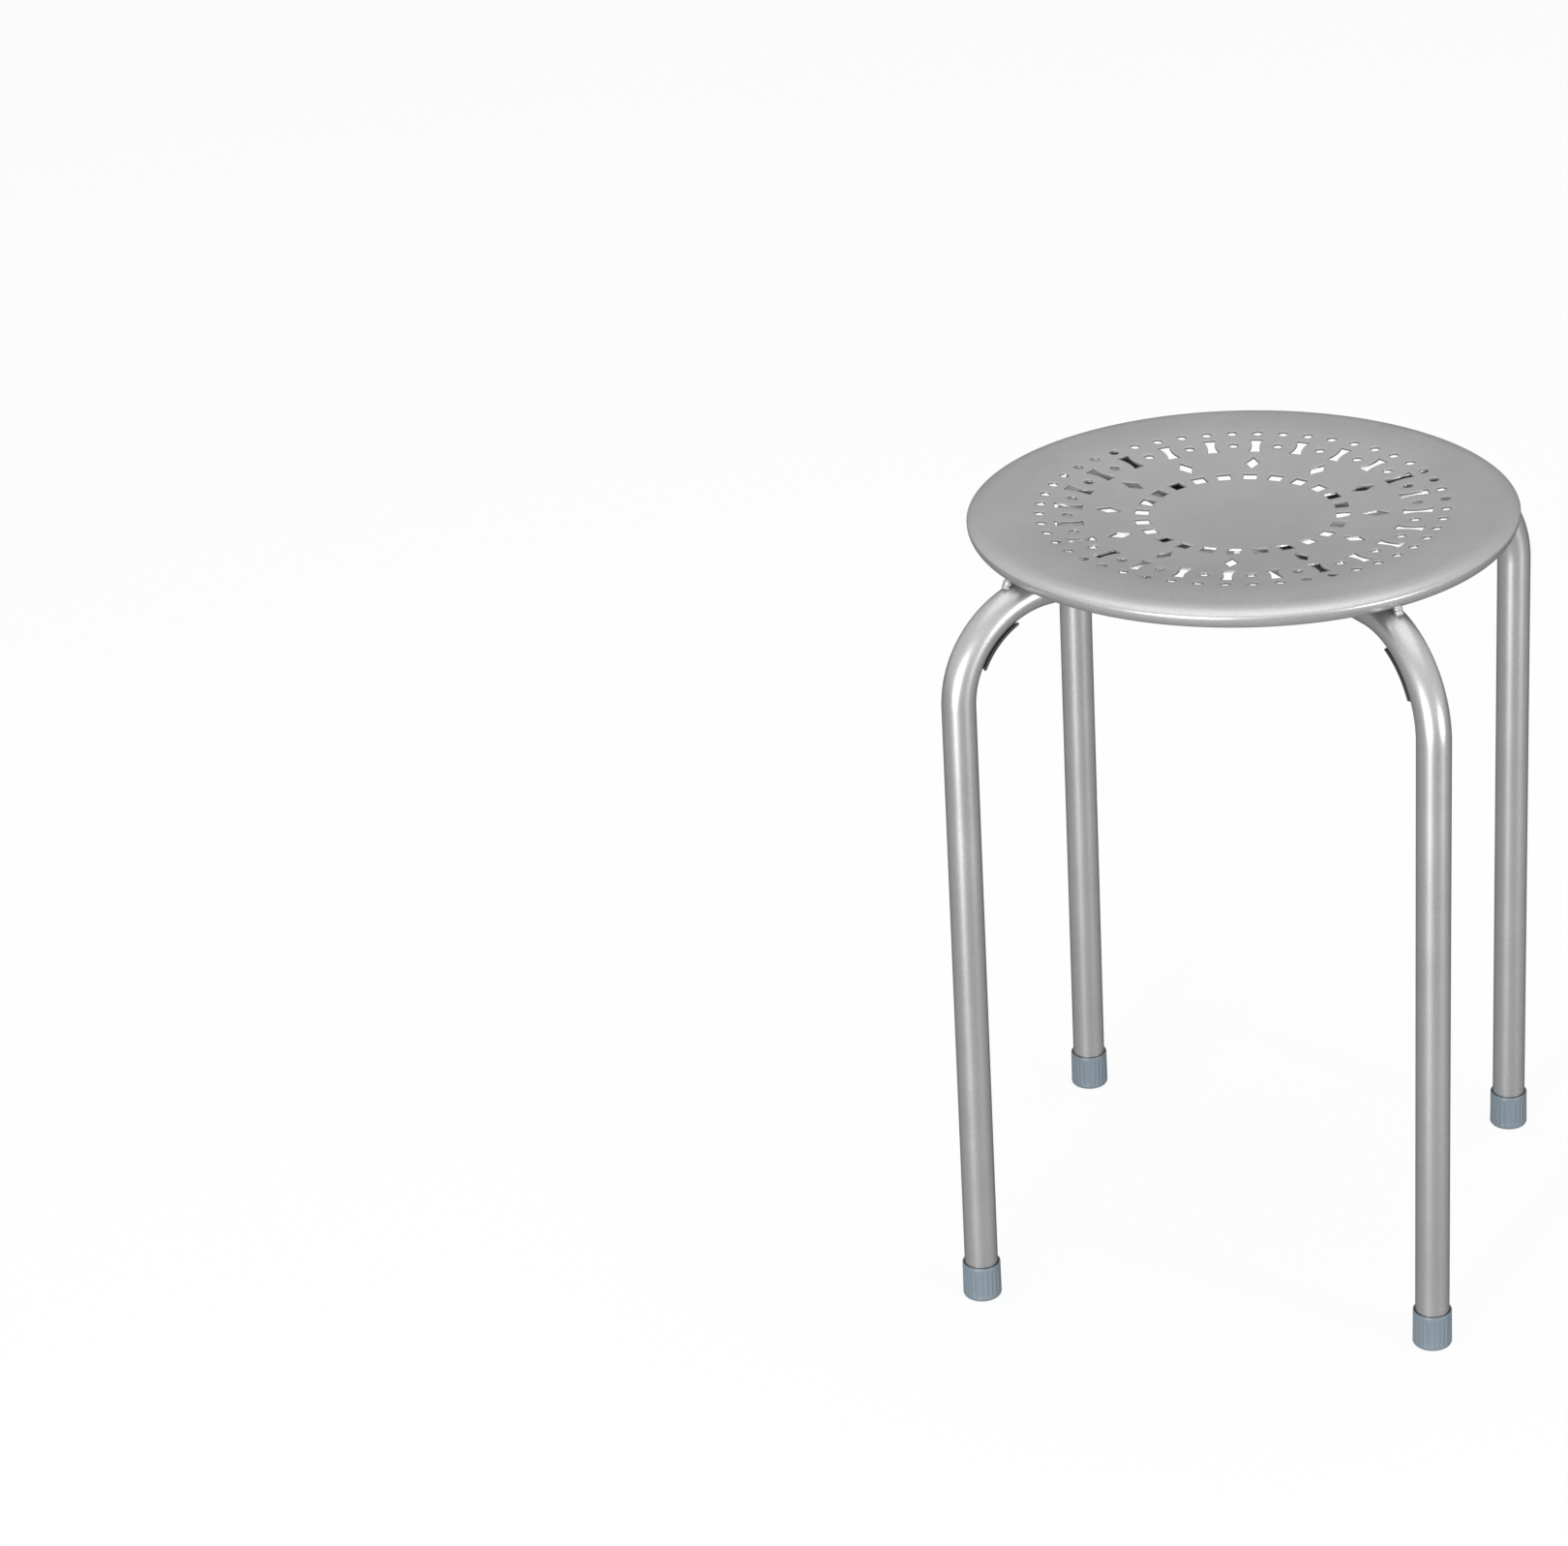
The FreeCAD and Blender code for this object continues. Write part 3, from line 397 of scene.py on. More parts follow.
class Tree:
    """A geometry node tree that is built in the script."""

    def __init__(self, name, inputs):
        self.group = bpy.data.node_groups.new(name, "GeometryNodeTree")
        face = self.group.interface
        face.new_socket("Geometry", in_out="INPUT", socket_type="NodeSocketGeometry")
        self.sockets = {}
        for label, kind in inputs.items():
            self.sockets[label] = face.new_socket(label, in_out="INPUT", socket_type=kind).identifier
        face.new_socket("Geometry", in_out="OUTPUT", socket_type="NodeSocketGeometry")
        self.entry = self.group.nodes.new("NodeGroupInput")

    def given(self, label):
        return self.entry.outputs[label]

    def node(self, kind, settings=None, inputs=None, output=0):
        """Add a node: its settings first, then a value or a link for each socket."""
        made = self.group.nodes.new(kind)
        for name, value in (settings or {}).items():
            setattr(made, name, value)
        for name, value in (inputs or {}).items():
            if isinstance(value, bpy.types.NodeSocket):
                self.group.links.new(value, made.inputs[name])
            else:
                made.inputs[name].default_value = value
        return made.outputs[output]

    def end(self, geometry):
        """Realize what was instanced, set the material and close the tree."""
        real = self.node("GeometryNodeRealizeInstances", inputs={"Geometry": geometry})
        whole = self.node("GeometryNodeMergeByDistance", inputs={
            "Geometry": real, "Distance": MERGE_DISTANCE})
        dressed = self.node(
            "GeometryNodeSetMaterial", inputs={"Geometry": whole, "Material": self.given("Material")})
        leave = self.group.nodes.new("NodeGroupOutput")
        self.group.links.new(dressed, leave.inputs["Geometry"])

    def run(self, piece, **values):
        """Run the tree on a piece and keep the result as a plain mesh."""
        modifier = piece.modifiers.new(self.group.name, "NODES")
        modifier.node_group = self.group
        for label, value in values.items():
            modifier[self.sockets[label]] = value
        return flatten_modifiers(piece)


def repeat_round_tree():
    """Copy one sector round the Z axis until it closes."""
    tree = Tree("repeat_round", {"Count": "NodeSocketInt", "Material": "NodeSocketMaterial"})
    index = tree.node("GeometryNodeInputIndex")
    step = tree.node("ShaderNodeMath", {"operation": "DIVIDE"}, {0: math.tau, 1: tree.given("Count")})
    angle = tree.node("ShaderNodeMath", {"operation": "MULTIPLY"}, {0: index, 1: step})
    euler = tree.node("ShaderNodeCombineXYZ", inputs={"Z": angle})
    turned = tree.node("FunctionNodeEulerToRotation", inputs={"Euler": euler})
    points = tree.node("GeometryNodePoints", inputs={"Count": tree.given("Count")})
    copies = tree.node("GeometryNodeInstanceOnPoints", inputs={
        "Points": points, "Instance": tree.given("Geometry"), "Rotation": turned})
    tree.end(copies)
    return tree


def weld_bead_tree():
    """Lay overlapping flattened drops along a path, as a weld bead freezes."""
    tree = Tree("weld_bead", {
        "Radius": "NodeSocketFloat", "Step": "NodeSocketFloat", "Seed": "NodeSocketInt",
        "Material": "NodeSocketMaterial"})
    curve = tree.node("GeometryNodeMeshToCurve", inputs={"Mesh": tree.given("Geometry")})
    spaced = tree.node("GeometryNodeResampleCurve", {"mode": "LENGTH"}, {
        "Curve": curve, "Length": tree.given("Step")})
    along = tree.node("GeometryNodeInputTangent")
    turned = tree.node("FunctionNodeAlignRotationToVector", {"axis": "Z"}, {"Vector": along})
    spread = tree.node("FunctionNodeRandomValue", {"data_type": "FLOAT"}, {
        2: DROP_SMALLEST, 3: DROP_LARGEST, "Seed": tree.given("Seed")}, output=1)
    drop = tree.node("GeometryNodeMeshUVSphere", inputs={
        "Segments": 20, "Rings": 12, "Radius": tree.given("Radius")})
    flat = tree.node("GeometryNodeTransform", inputs={"Geometry": drop, "Scale": (1.0, 1.0, DROP_FLATNESS)})
    drops = tree.node("GeometryNodeInstanceOnPoints", inputs={
        "Points": spaced, "Instance": flat, "Rotation": turned, "Scale": spread})
    tree.end(drops)
    return tree


TREES = {}


def kept_tree(name, make):
    """A tree by its name, made when it is first asked for."""
    if name not in TREES:
        TREES[name] = make()
    return TREES[name]


# The seat

SEAT_SECTORS = 12
STEPS_PER_SECTOR = 4
COLUMNS_PER_STEP = 8
CELL_ROWS = 8
CURL_TURN = math.radians(55)
ROLL_STEPS = 18
CURL_STEPS = 8
CUT_EDGE_STEPS = 6

# Circles between the seat's rings of holes, and where rows of points lie across plain sheet
DISC_EDGE = 49 * MM
SQUARES_EDGE = 65 * MM
DIAMONDS_EDGE = 86 * MM
SLOTS_EDGE = 106.5 * MM
HOLES_EDGE = 118 * MM
DISC_SHARES = (0.0, 0.12, 0.3, 0.5, 0.7, 0.86, 1.0)
BORDER_SHARES = (0.0, 0.33, 0.66, 1.0)
# Faces that point further down than this get the painted shade under the seat.
PAINTED_SHADE_NORMAL = -0.7


class SeatSector:
    """One sector of the seat between two diamonds, as a closed strip of sheet metal."""

    def __init__(self, sizes):
        self.sizes = sizes
        self.points = []
        self.faces = []
        self.step = math.tau / SEAT_SECTORS / STEPS_PER_SECTOR

    def height(self, radius):
        """Height of the seat's upper face over the top of the rim, inside the rolled edge."""
        sizes = self.sizes
        slope = 2 * math.atan(sizes.dish_depth / sizes.dish_edge)
        hollow = sizes.dish_turn / math.sin(slope)
        crown = (sizes.dish_edge - sizes.dish_turn) / math.sin(slope)
        if radius < sizes.dish_turn:
            return -sizes.dish_depth + hollow - math.sqrt(hollow ** 2 - radius ** 2)
        if radius < sizes.dish_edge:
            return math.sqrt(crown ** 2 - (radius - sizes.dish_edge) ** 2) - crown
        return 0.0

    def add(self, rows, columns, upright):
        """Add a grid of points, wound so that its faces point up or, if not, down."""
        start = len(self.points)
        for row in rows:
            self.points.extend(row)
        for face in grid_faces(len(rows), columns):
            moved = tuple(start + corner for corner in face)
            self.faces.append(moved if upright else moved[::-1])

    def lift(self, x, y, drop):
        """A point of the upper face, or one that lies a drop under it."""
        return (x, y, RIM_TOP + self.height(math.hypot(x, y)) - drop)

    def arc_row(self, radius, z):
        """Points across the whole sector at one radius and height."""
        row = []
        for column in range(STEPS_PER_SECTOR * COLUMNS_PER_STEP + 1):
            angle = (column / COLUMNS_PER_STEP - 0.5) * self.step
            row.append((radius * math.cos(angle), radius * math.sin(angle), z))
        return row

    def plain(self, radii, first_step=-0.5, steps=STEPS_PER_SECTOR):
        """Both faces of unpunched sheet, from a place in the sector on."""
        columns = steps * COLUMNS_PER_STEP
        angles = [(first_step + column / COLUMNS_PER_STEP) * self.step for column in range(columns + 1)]
        for drop, upright in ((0.0, False), (self.sizes.sheet, True)):
            rows = [[self.lift(radius * math.cos(angle), radius * math.sin(angle), drop) for angle in angles]
                    for radius in radii]
            self.add(rows, columns + 1, upright)

    def rim(self):
        """The rolled edge: over the top, curled under at the bottom, round the cut edge and back."""
        outside = self.rim_side(0.0)
        inside = self.rim_side(self.sizes.sheet)[::-1]
        profile = [(self.sizes.dish_edge, RIM_TOP)] + outside
        profile += self.rounded_edge(outside[-1], inside[0]) + inside
        profile.append((self.sizes.dish_edge, RIM_TOP - self.sizes.sheet))
        rows = [self.arc_row(radius, z) for radius, z in profile]
        self.add(rows, STEPS_PER_SECTOR * COLUMNS_PER_STEP + 1, False)

    def rim_side(self, depth):
        """One side of the rim's section, at a depth under its outer surface."""
        roll, curl = self.sizes.roll, self.sizes.curl
        fall = RIM_TOP - RIM_EDGE - curl * math.sin(CURL_TURN)
        points = []
        for step in range(ROLL_STEPS + 1):
            turn_out = math.pi / 2 * step / ROLL_STEPS
            points.append((
                SEAT_RADIUS - roll + (roll - depth) * math.sin(turn_out),
                RIM_TOP - fall + (fall - depth) * math.cos(turn_out)))
        for step in range(1, CURL_STEPS + 1):
            turn_under = CURL_TURN * step / CURL_STEPS
            points.append((
                SEAT_RADIUS - curl + (curl - depth) * math.cos(turn_under),
                RIM_TOP - fall - (curl - depth) * math.sin(turn_under)))
        return points

    def rounded_edge(self, outer, inner):
        """Points round the cut edge between the last points of the two sides."""
        middle = ((outer[0] + inner[0]) / 2, (outer[1] + inner[1]) / 2)
        across = (outer[0] - middle[0], outer[1] - middle[1])
        ahead = (across[1], -across[0])
        points = []
        for step in range(1, CUT_EDGE_STEPS):
            swing = math.pi * step / CUT_EDGE_STEPS
            points.append(tuple(
                middle[axis] + across[axis] * math.cos(swing) + 0.5 * ahead[axis] * math.sin(swing)
                for axis in (0, 1)))
        return points

    def cell(self, inner, outer, centre_step, steps, middle, outline):
        """A cell of sheet with one hole in it, or none."""
        columns = COLUMNS_PER_STEP * steps
        if outline is None:
            radii = [inner + (outer - inner) * row / CELL_ROWS for row in range(CELL_ROWS + 1)]
            self.plain(radii, centre_step - steps / 2, steps)
            return
        border = self.border(inner, outer, columns, steps * self.step / 2)
        hole = [(middle + x, y) for x, y in outline(columns, CELL_ROWS)]
        rounding = self.sizes.edge_round
        wall = self.offset_row(hole, border, centre_step, 0.0, self.sizes.sheet)
        upper, lower = [], [wall]
        for out, drop in ((0.0, rounding), (0.3 * rounding, 0.3 * rounding), (rounding, 0.0)):
            upper.append(self.offset_row(hole, border, centre_step, out, drop))
        for share in BORDER_SHARES[1:]:
            upper.append(self.mixed_row(hole, border, centre_step, share, 0.0))
            lower.append(self.mixed_row(hole, border, centre_step, share, self.sizes.sheet))
        count = len(hole) + 1
        self.add(upper, count, False)
        self.add(lower, count, True)
        self.add([upper[0], wall], count, True)

    def border(self, inner, outer, columns, half):
        """The cell's own outline, anticlockwise from its inner right corner."""
        points = []
        for column in range(columns):
            points.append((inner, half - 2 * half * column / columns))
        for row in range(CELL_ROWS):
            points.append((inner + (outer - inner) * row / CELL_ROWS, -half))
        for column in range(columns):
            points.append((outer, -half + 2 * half * column / columns))
        for row in range(CELL_ROWS):
            points.append((outer - (outer - inner) * row / CELL_ROWS, half))
        return [(radius * math.cos(angle), radius * math.sin(angle)) for radius, angle in points]

    def turned(self, x, y, centre_step, drop):
        """A point of the sheet, from its place in a cell on the X axis."""
        angle = centre_step * self.step
        return self.lift(
            x * math.cos(angle) - y * math.sin(angle), x * math.sin(angle) + y * math.cos(angle), drop)

    def mixed_row(self, hole, border, centre_step, share, drop):
        """A closed row of points part of the way from the hole to the cell's outline."""
        row = []
        for (hx, hy), (bx, by) in zip(hole, border):
            row.append(self.turned(hx + (bx - hx) * share, hy + (by - hy) * share, centre_step, drop))
        return row + row[:1]

    def offset_row(self, hole, border, centre_step, out, drop):
        """A closed row of points a fixed distance outside the hole."""
        row = []
        for (hx, hy), (bx, by) in zip(hole, border):
            away = math.hypot(bx - hx, by - hy)
            x, y = hx + (bx - hx) * out / away, hy + (by - hy) * out / away
            row.append(self.turned(x, y, centre_step, drop))
        return row + row[:1]


def sides_outline(corners, columns, rows):
    """A four-sided outline from its inner right corner, with straight sides."""
    points = []
    counts = (columns, rows, columns, rows)
    for side, count in enumerate(counts):
        (x0, y0), (x1, y1) = corners[side], corners[(side + 1) % 4]
        points += [(x0 + (x1 - x0) * i / count, y0 + (y1 - y0) * i / count) for i in range(count)]
    return points


def round_outline(radius):
    def outline(columns, rows):
        points = []
        start = math.radians(135)
        for side, count in enumerate((columns, rows, columns, rows)):
            for i in range(count):
                angle = start + math.radians(90) * (side + i / count)
                points.append((radius * math.cos(angle), radius * math.sin(angle)))
        return points
    return outline


def square_outline(side):
    half = side / 2
    return lambda columns, rows: sides_outline(
        ((-half, half), (-half, -half), (half, -half), (half, half)), columns, rows)


def diamond_outline(long, wide):
    """A diamond whose four corners fall at the middles of the cell's sides."""
    def outline(columns, rows):
        corners = ((-long / 2, 0), (0, -wide / 2), (long / 2, 0), (0, wide / 2))
        quarter = (columns + rows) // 2
        points = sides_outline(corners, quarter, quarter)
        shift = columns // 2
        return points[-shift:] + points[:-shift]
    return outline


def waisted_outline(long, end, waist):
    """A slot with straight ends and sides that curve in to a waist."""
    def outline(columns, rows):
        points = sides_outline(
            ((-long / 2, end / 2), (-long / 2, -end / 2), (long / 2, -end / 2), (long / 2, end / 2)),
            columns, rows)
        rise = (end - waist) / 2
        radius = ((long / 2) ** 2 + rise ** 2) / (2 * rise)
        bent = []
        for x, y in points:
            side = waist / 2 + radius - math.sqrt(radius ** 2 - x ** 2)
            bent.append((x, y * side / (end / 2)))
        return bent
    return outline


def seat_sector(sizes):
    """The sector from half a step before one diamond to half a step before the next."""
    sector = SeatSector(sizes)
    sector.plain([DISC_EDGE * share for share in DISC_SHARES])
    round_hole = round_outline(sizes.round_hole / 2)
    slot = waisted_outline(sizes.slot_length, sizes.slot_end, sizes.slot_waist)
    diamond = diamond_outline(sizes.diamond_length, sizes.diamond_width)
    for step in range(0, STEPS_PER_SECTOR, 2):
        sector.cell(DISC_EDGE, SQUARES_EDGE, step, 2, sizes.square_ring, square_outline(sizes.square_side))
    for step in range(STEPS_PER_SECTOR):
        sector.cell(SQUARES_EDGE, DIAMONDS_EDGE, step, 1, sizes.diamond_ring, None if step else diamond)
        sector.cell(DIAMONDS_EDGE, SLOTS_EDGE, step, 1, sizes.slot_ring, round_hole if step % 2 else slot)
        sector.cell(SLOTS_EDGE, HOLES_EDGE, step, 1, sizes.outer_ring, round_hole)
    sector.plain([HOLES_EDGE + (sizes.dish_edge - HOLES_EDGE) * share for share in BORDER_SHARES])
    sector.rim()
    return sector


# The tubes

TUBE_AROUND = 72
BEND_STEPS = 28
AXIS_HEIGHT = TUBE_TOP - TUBE_RADIUS


def tube_stations(sizes, stop_at_axis):
    """Centre line of a leg, its bend and the run to the stool's axis: places and directions."""
    reach, turn_height = LEG_CIRCLE - sizes.bend, AXIS_HEIGHT - sizes.bend
    stations = [((LEG_CIRCLE, TUBE_END), 0.0)]
    for step in range(BEND_STEPS + 1):
        angle = math.pi / 2 * step / BEND_STEPS
        place = (reach + sizes.bend * math.cos(angle), turn_height + sizes.bend * math.sin(angle))
        stations.append((place, angle))
    if stop_at_axis:
        stations.append(((0.0, AXIS_HEIGHT), math.pi / 2))
    return stations


def tube_ring(station, radius):
    """A ring of points square to the centre line."""
    (x, z), angle = station
    ring = []
    for i in range(TUBE_AROUND):
        turn_round = math.tau * i / TUBE_AROUND
        out, side = radius * math.cos(turn_round), radius * math.sin(turn_round)
        ring.append((x + out * math.cos(angle), side, z + out * math.sin(angle)))
    return ring


def tube_skins(sizes, stop_at_axis):
    """The rings of the tube's outer skin, then those of its inner skin."""
    stations = tube_stations(sizes, stop_at_axis)
    return [[tube_ring(station, radius) for station in stations]
            for radius in (TUBE_RADIUS, TUBE_RADIUS - sizes.wall)]


def frame_piece(name, rows_out, rows_in, material):
    """A hollow tube from the rings of its outer and inner skins."""
    rows = rows_out + rows_in[::-1]
    points = [point for row in rows for point in row]
    faces = grid_faces(len(rows), TUBE_AROUND, closed_rows=True, closed_columns=True)
    return new_piece(name, points, faces, material)


def other_leg(rows):
    """The same rings on the other side of the stool, in the order the tube runs on."""
    return [[(-x, y, z) for x, y, z in row] for row in reversed(rows)]


def long_frame(sizes, material):
    skins = [rows + other_leg(rows) for rows in tube_skins(sizes, stop_at_axis=False)]
    return frame_piece("leg_frame_long_tube", *skins, material)


def coped(ring, sizes):
    """Move the points of the last ring out to the saddle that fits the long tube."""
    reach = TUBE_RADIUS + sizes.cope_gap
    return [(math.sqrt(reach ** 2 - (z - AXIS_HEIGHT) ** 2), y, z) for x, y, z in ring]


def half_frame(side, sizes, material):
    skins = [rows[:-1] + [coped(rows[-1], sizes)] for rows in tube_skins(sizes, stop_at_axis=True)]
    piece = frame_piece("leg_frame_half_%s_tube" % side, *skins, material)
    piece.data.transform(leg_matrix(side))
    return piece


# The welds

BEAD_OFFSET = 0.6 * MM
CROSS_BEAD_STEPS = 32
CROSS_BEAD_TURN = math.radians(66)
CROSS_DROP_STEP = 0.9 * MM
CROSS_SEED = 3
RIM_BEAD_STEPS = 8
RIM_BEAD_LEAN = 1.6 * MM
RIM_BEAD_RISE = 1.2 * MM
RIM_DROP_STEP = 0.8 * MM
RIM_SEED = 11


def path_piece(name, points, material):
    """A line of edges for a bead to follow."""
    return new_piece(name, points, [], material, [(i, i + 1) for i in range(len(points) - 1)])


def cross_bead_path():
    """Up each side of the crossing, for a half frame that runs along +X."""
    points = []
    for step in range(-CROSS_BEAD_STEPS, CROSS_BEAD_STEPS + 1):
        angle = CROSS_BEAD_TURN * step / CROSS_BEAD_STEPS
        out = TUBE_RADIUS * math.cos(angle) + BEAD_OFFSET
        points.append((out, out, AXIS_HEIGHT + TUBE_RADIUS * math.sin(angle)))
    other = [(x, -y, z) for x, y, z in points]
    return points, other


def join_pieces(name, pieces):
    """Join several plain meshes into one piece."""
    points, faces = [], []
    for piece in pieces:
        start = len(points)
        points += [tuple(vertex.co) for vertex in piece.data.vertices]
        faces += [tuple(start + corner for corner in face.vertices) for face in piece.data.polygons]
    material = pieces[0].data.materials[0]
    for piece in pieces:
        bpy.data.objects.remove(piece)
    return new_piece(name, points, faces, material)


def cross_weld(side, sizes, material):
    tree = kept_tree("weld_bead", weld_bead_tree)
    beads = []
    for number, points in enumerate(cross_bead_path()):
        bead = path_piece("cross_bead_%s_%d" % (side, number), points, material)
        beads.append(tree.run(
            bead, Radius=sizes.bead, Step=CROSS_DROP_STEP, Seed=CROSS_SEED + number, Material=material))
    piece = join_pieces("cross_weld_%s_bead" % side, beads)
    piece.data.transform(leg_matrix(side))
    return piece


def rim_weld(side, sizes, material):
    """A short bead that climbs from the tube and leans in to the curled edge of the rim."""
    tree = kept_tree("weld_bead", weld_bead_tree)
    low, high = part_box("rim_weld_right")
    inset = sizes.rim_bead * 0.8
    bottom, top = low.z + inset, high.z - inset + RIM_BEAD_RISE
    points = []
    for step in range(RIM_BEAD_STEPS + 1):
        share = step / RIM_BEAD_STEPS
        points.append((
            SEAT_RADIUS - BEAD_OFFSET - RIM_BEAD_LEAN * share, 0.0, bottom + (top - bottom) * share))
    bead = path_piece("rim_weld_%s_bead" % side, points, material)
    seed = RIM_SEED + list(LEG_TURNS).index(side)
    piece = tree.run(bead, Radius=sizes.rim_bead, Step=RIM_DROP_STEP, Seed=seed, Material=material)
    piece.data.transform(leg_matrix(side))
    return piece


# The bumper strips

BUMPER_ACROSS_STEPS = 24
BUMPER_EDGE_STEPS = 8
BUMPER_STEPS = 40
BUMPER_END_NARROWING = 0.12
BUMPER_LEAST_SHRINK = math.sqrt(0.02)


def bumper_section(sizes, bend, shrink):
    """Curved section of a strip with round edges: (distance from the bend's centre, across)."""
    middle, half = TUBE_RADIUS + sizes.gap + sizes.thickness / 2, sizes.thickness / 2 * shrink
    wrap = sizes.wrap * (1 - (1 - shrink) * BUMPER_END_NARROWING)
    points = []
    for side in (1, -1):
        for step in range(BUMPER_ACROSS_STEPS + 1):
            points.append((middle + side * half, side * wrap * (2 * step / BUMPER_ACROSS_STEPS - 1)))
        for step in range(1, BUMPER_EDGE_STEPS):
            swing = math.pi * step / BUMPER_EDGE_STEPS
            points.append((
                middle + side * half * math.cos(swing), side * (wrap + half * math.sin(swing) / middle)))
    return [(bend - radius * math.cos(angle), radius * math.sin(angle)) for radius, angle in points]


def bumper(side, sizes, bend, material):
    """A strip swept round the inside of the bend, its ends rounded off."""
    reach, turn_height = LEG_CIRCLE - bend, AXIS_HEIGHT - bend
    run = sizes.end - sizes.start
    rows = []
    for step in range(BUMPER_STEPS + 1):
        share = step / BUMPER_STEPS
        angle = sizes.start + run * share
        edge = min(share, 1 - share) * run * bend / (sizes.thickness * 0.5)
        shrink = max(BUMPER_LEAST_SHRINK, math.sqrt(1 - max(0.0, 1 - edge) ** 2))
        rows.append([
            (reach + distance * math.sin(angle), across, turn_height + distance * math.cos(angle))
            for distance, across in bumper_section(sizes, bend, shrink)])
    columns = len(rows[0])
    points = [point for row in rows for point in row]
    faces = grid_faces(len(rows), columns, closed_columns=True)
    faces.append(tuple(range(columns))[::-1])
    faces.append(tuple(range(len(points) - columns, len(points))))
    piece = new_piece("bend_bumper_%s_strip" % side, points, faces, material)
    piece.data.transform(leg_matrix(side))
    return piece


# The leg caps

FLUTE_COLUMNS = 12
FLUTE_ROWS = 12
CAP_EDGE_STEPS = 8
LIP_ROUND = 0.35 * MM
MOUTH_DEPTH = 1.4 * MM


def cap_sector(sizes):
    """The part of a cap that one flute takes up: rows up the outside and down the socket."""
    share = math.tau / sizes.flutes
    tube = TUBE_RADIUS + sizes.socket_gap
    foot, top = CAP_FOOT_RADIUS, CAP_FOOT_RADIUS - sizes.taper
    flute_low, flute_high = sizes.foot, CAP_HEIGHT - sizes.lip
    profile = [(0.0, 0.0, 0.0), (foot * 0.5, 0.0, 0.0), (foot - sizes.edge, 0.0, 0.0)]
    for step in range(1, CAP_EDGE_STEPS + 1):
        angle = math.pi / 2 * step / CAP_EDGE_STEPS
        radius = foot - sizes.edge + sizes.edge * math.sin(angle)
        profile.append((radius, sizes.edge * (1 - math.cos(angle)), 0.0))
    for part in range(FLUTE_ROWS + 1):
        height = flute_low + (flute_high - flute_low) * part / FLUTE_ROWS
        fade = min(1.0, min(part, FLUTE_ROWS - part) / 1.5)
        profile.append((foot - sizes.taper * height / CAP_HEIGHT, height, sizes.flute_depth * fade))
    profile += [
        (top, CAP_HEIGHT - LIP_ROUND, 0.0), (top - LIP_ROUND * 0.3, CAP_HEIGHT - LIP_ROUND * 0.3, 0.0),
        (top - LIP_ROUND, CAP_HEIGHT, 0.0), (tube + sizes.mouth, CAP_HEIGHT, 0.0),
        (tube, CAP_HEIGHT - MOUTH_DEPTH, 0.0), (tube, sizes.floor, 0.0), (0.0, sizes.floor, 0.0)]
    points = []
    for radius, height, depth in profile:
        for column in range(FLUTE_COLUMNS + 1):
            angle = share * column / FLUTE_COLUMNS
            out = radius - depth * 0.5 * (1 - math.cos(math.tau * column / FLUTE_COLUMNS))
            points.append((out * math.cos(angle), out * math.sin(angle), height))
    return points, grid_faces(len(profile), FLUTE_COLUMNS + 1)


def leg_cap(side, sizes, material):
    points, faces = cap_sector(sizes)
    piece = new_piece("leg_cap_%s_moulding" % side, points, faces, material)
    tree = kept_tree("repeat_round", repeat_round_tree)
    tree.run(piece, Count=sizes.flutes, Material=material)
    piece.data.transform(leg_matrix(side) @ Matrix.Translation((LEG_CIRCLE, 0.0, 0.0)))
    return piece


# Operators

class StoolPressSeat(bpy.types.Operator):
    """Press and punch the round seat."""
    bl_idname = "stool.press_seat"
    bl_label = "Press the Seat"

    def execute(self, context):
        sizes = context.scene.stool_seat
        colours = context.scene.stool_colours
        coat = silver_coat("seat_silver_coat", colours.seat, roughness=0.38, metallic=0.75)
        sector = seat_sector(sizes)
        seat = new_piece("seat_pressing", sector.points, sector.faces, coat)
        tree = kept_tree("repeat_round", repeat_round_tree)
        tree.run(seat, Count=SEAT_SECTORS, Material=coat)
        seat.data.transform(Matrix.Rotation(-sizes.pattern_turn, 4, "Z"))
        seat.data.materials.append(underside_shade_coat("seat_under_coat", colours.under))
        # Downward faces inside the rim take the near-black second material: painted shade for the shadow
        # under the seat.
        for face in seat.data.polygons:
            if face.normal.z < PAINTED_SHADE_NORMAL and face.center.xy.length < SEAT_RADIUS - sizes.roll:
                face.material_index = 1
        settle(seat, 40, "seat_steel", "seat_pan")
        return {"FINISHED"}


class StoolBendFrames(bpy.types.Operator):
    """Bend the long frame and the two half frames."""
    bl_idname = "stool.bend_frames"
    bl_label = "Bend the Frames"

    def execute(self, context):
        sizes = context.scene.stool_frame
        tone = context.scene.stool_colours.frame
        coat = silver_coat("frame_silver_coat", tone, roughness=0.35, metallic=0.8)
        pieces = {"leg_frame_long": long_frame(sizes, coat)}
        for side in ("front", "back"):
            pieces["leg_frame_half_" + side] = half_frame(side, sizes, coat)
        for node, piece in pieces.items():
            settle(piece, 40, "frame_steel", node)
        return {"FINISHED"}


class StoolRunWelds(bpy.types.Operator):
    """Run the weld beads under the seat and where the tubes cross."""
    bl_idname = "stool.run_welds"
    bl_label = "Run the Welds"

    def execute(self, context):
        sizes = context.scene.stool_frame
        coat = weld_coat("weld_silver_coat", context.scene.stool_colours.frame)
        for side in ("front", "back"):
            settle(cross_weld(side, sizes, coat), 60, "weld_steel", "cross_weld_" + side)
        for side in LEG_TURNS:
            settle(rim_weld(side, sizes, coat), 60, "weld_steel", "rim_weld_" + side)
        return {"FINISHED"}


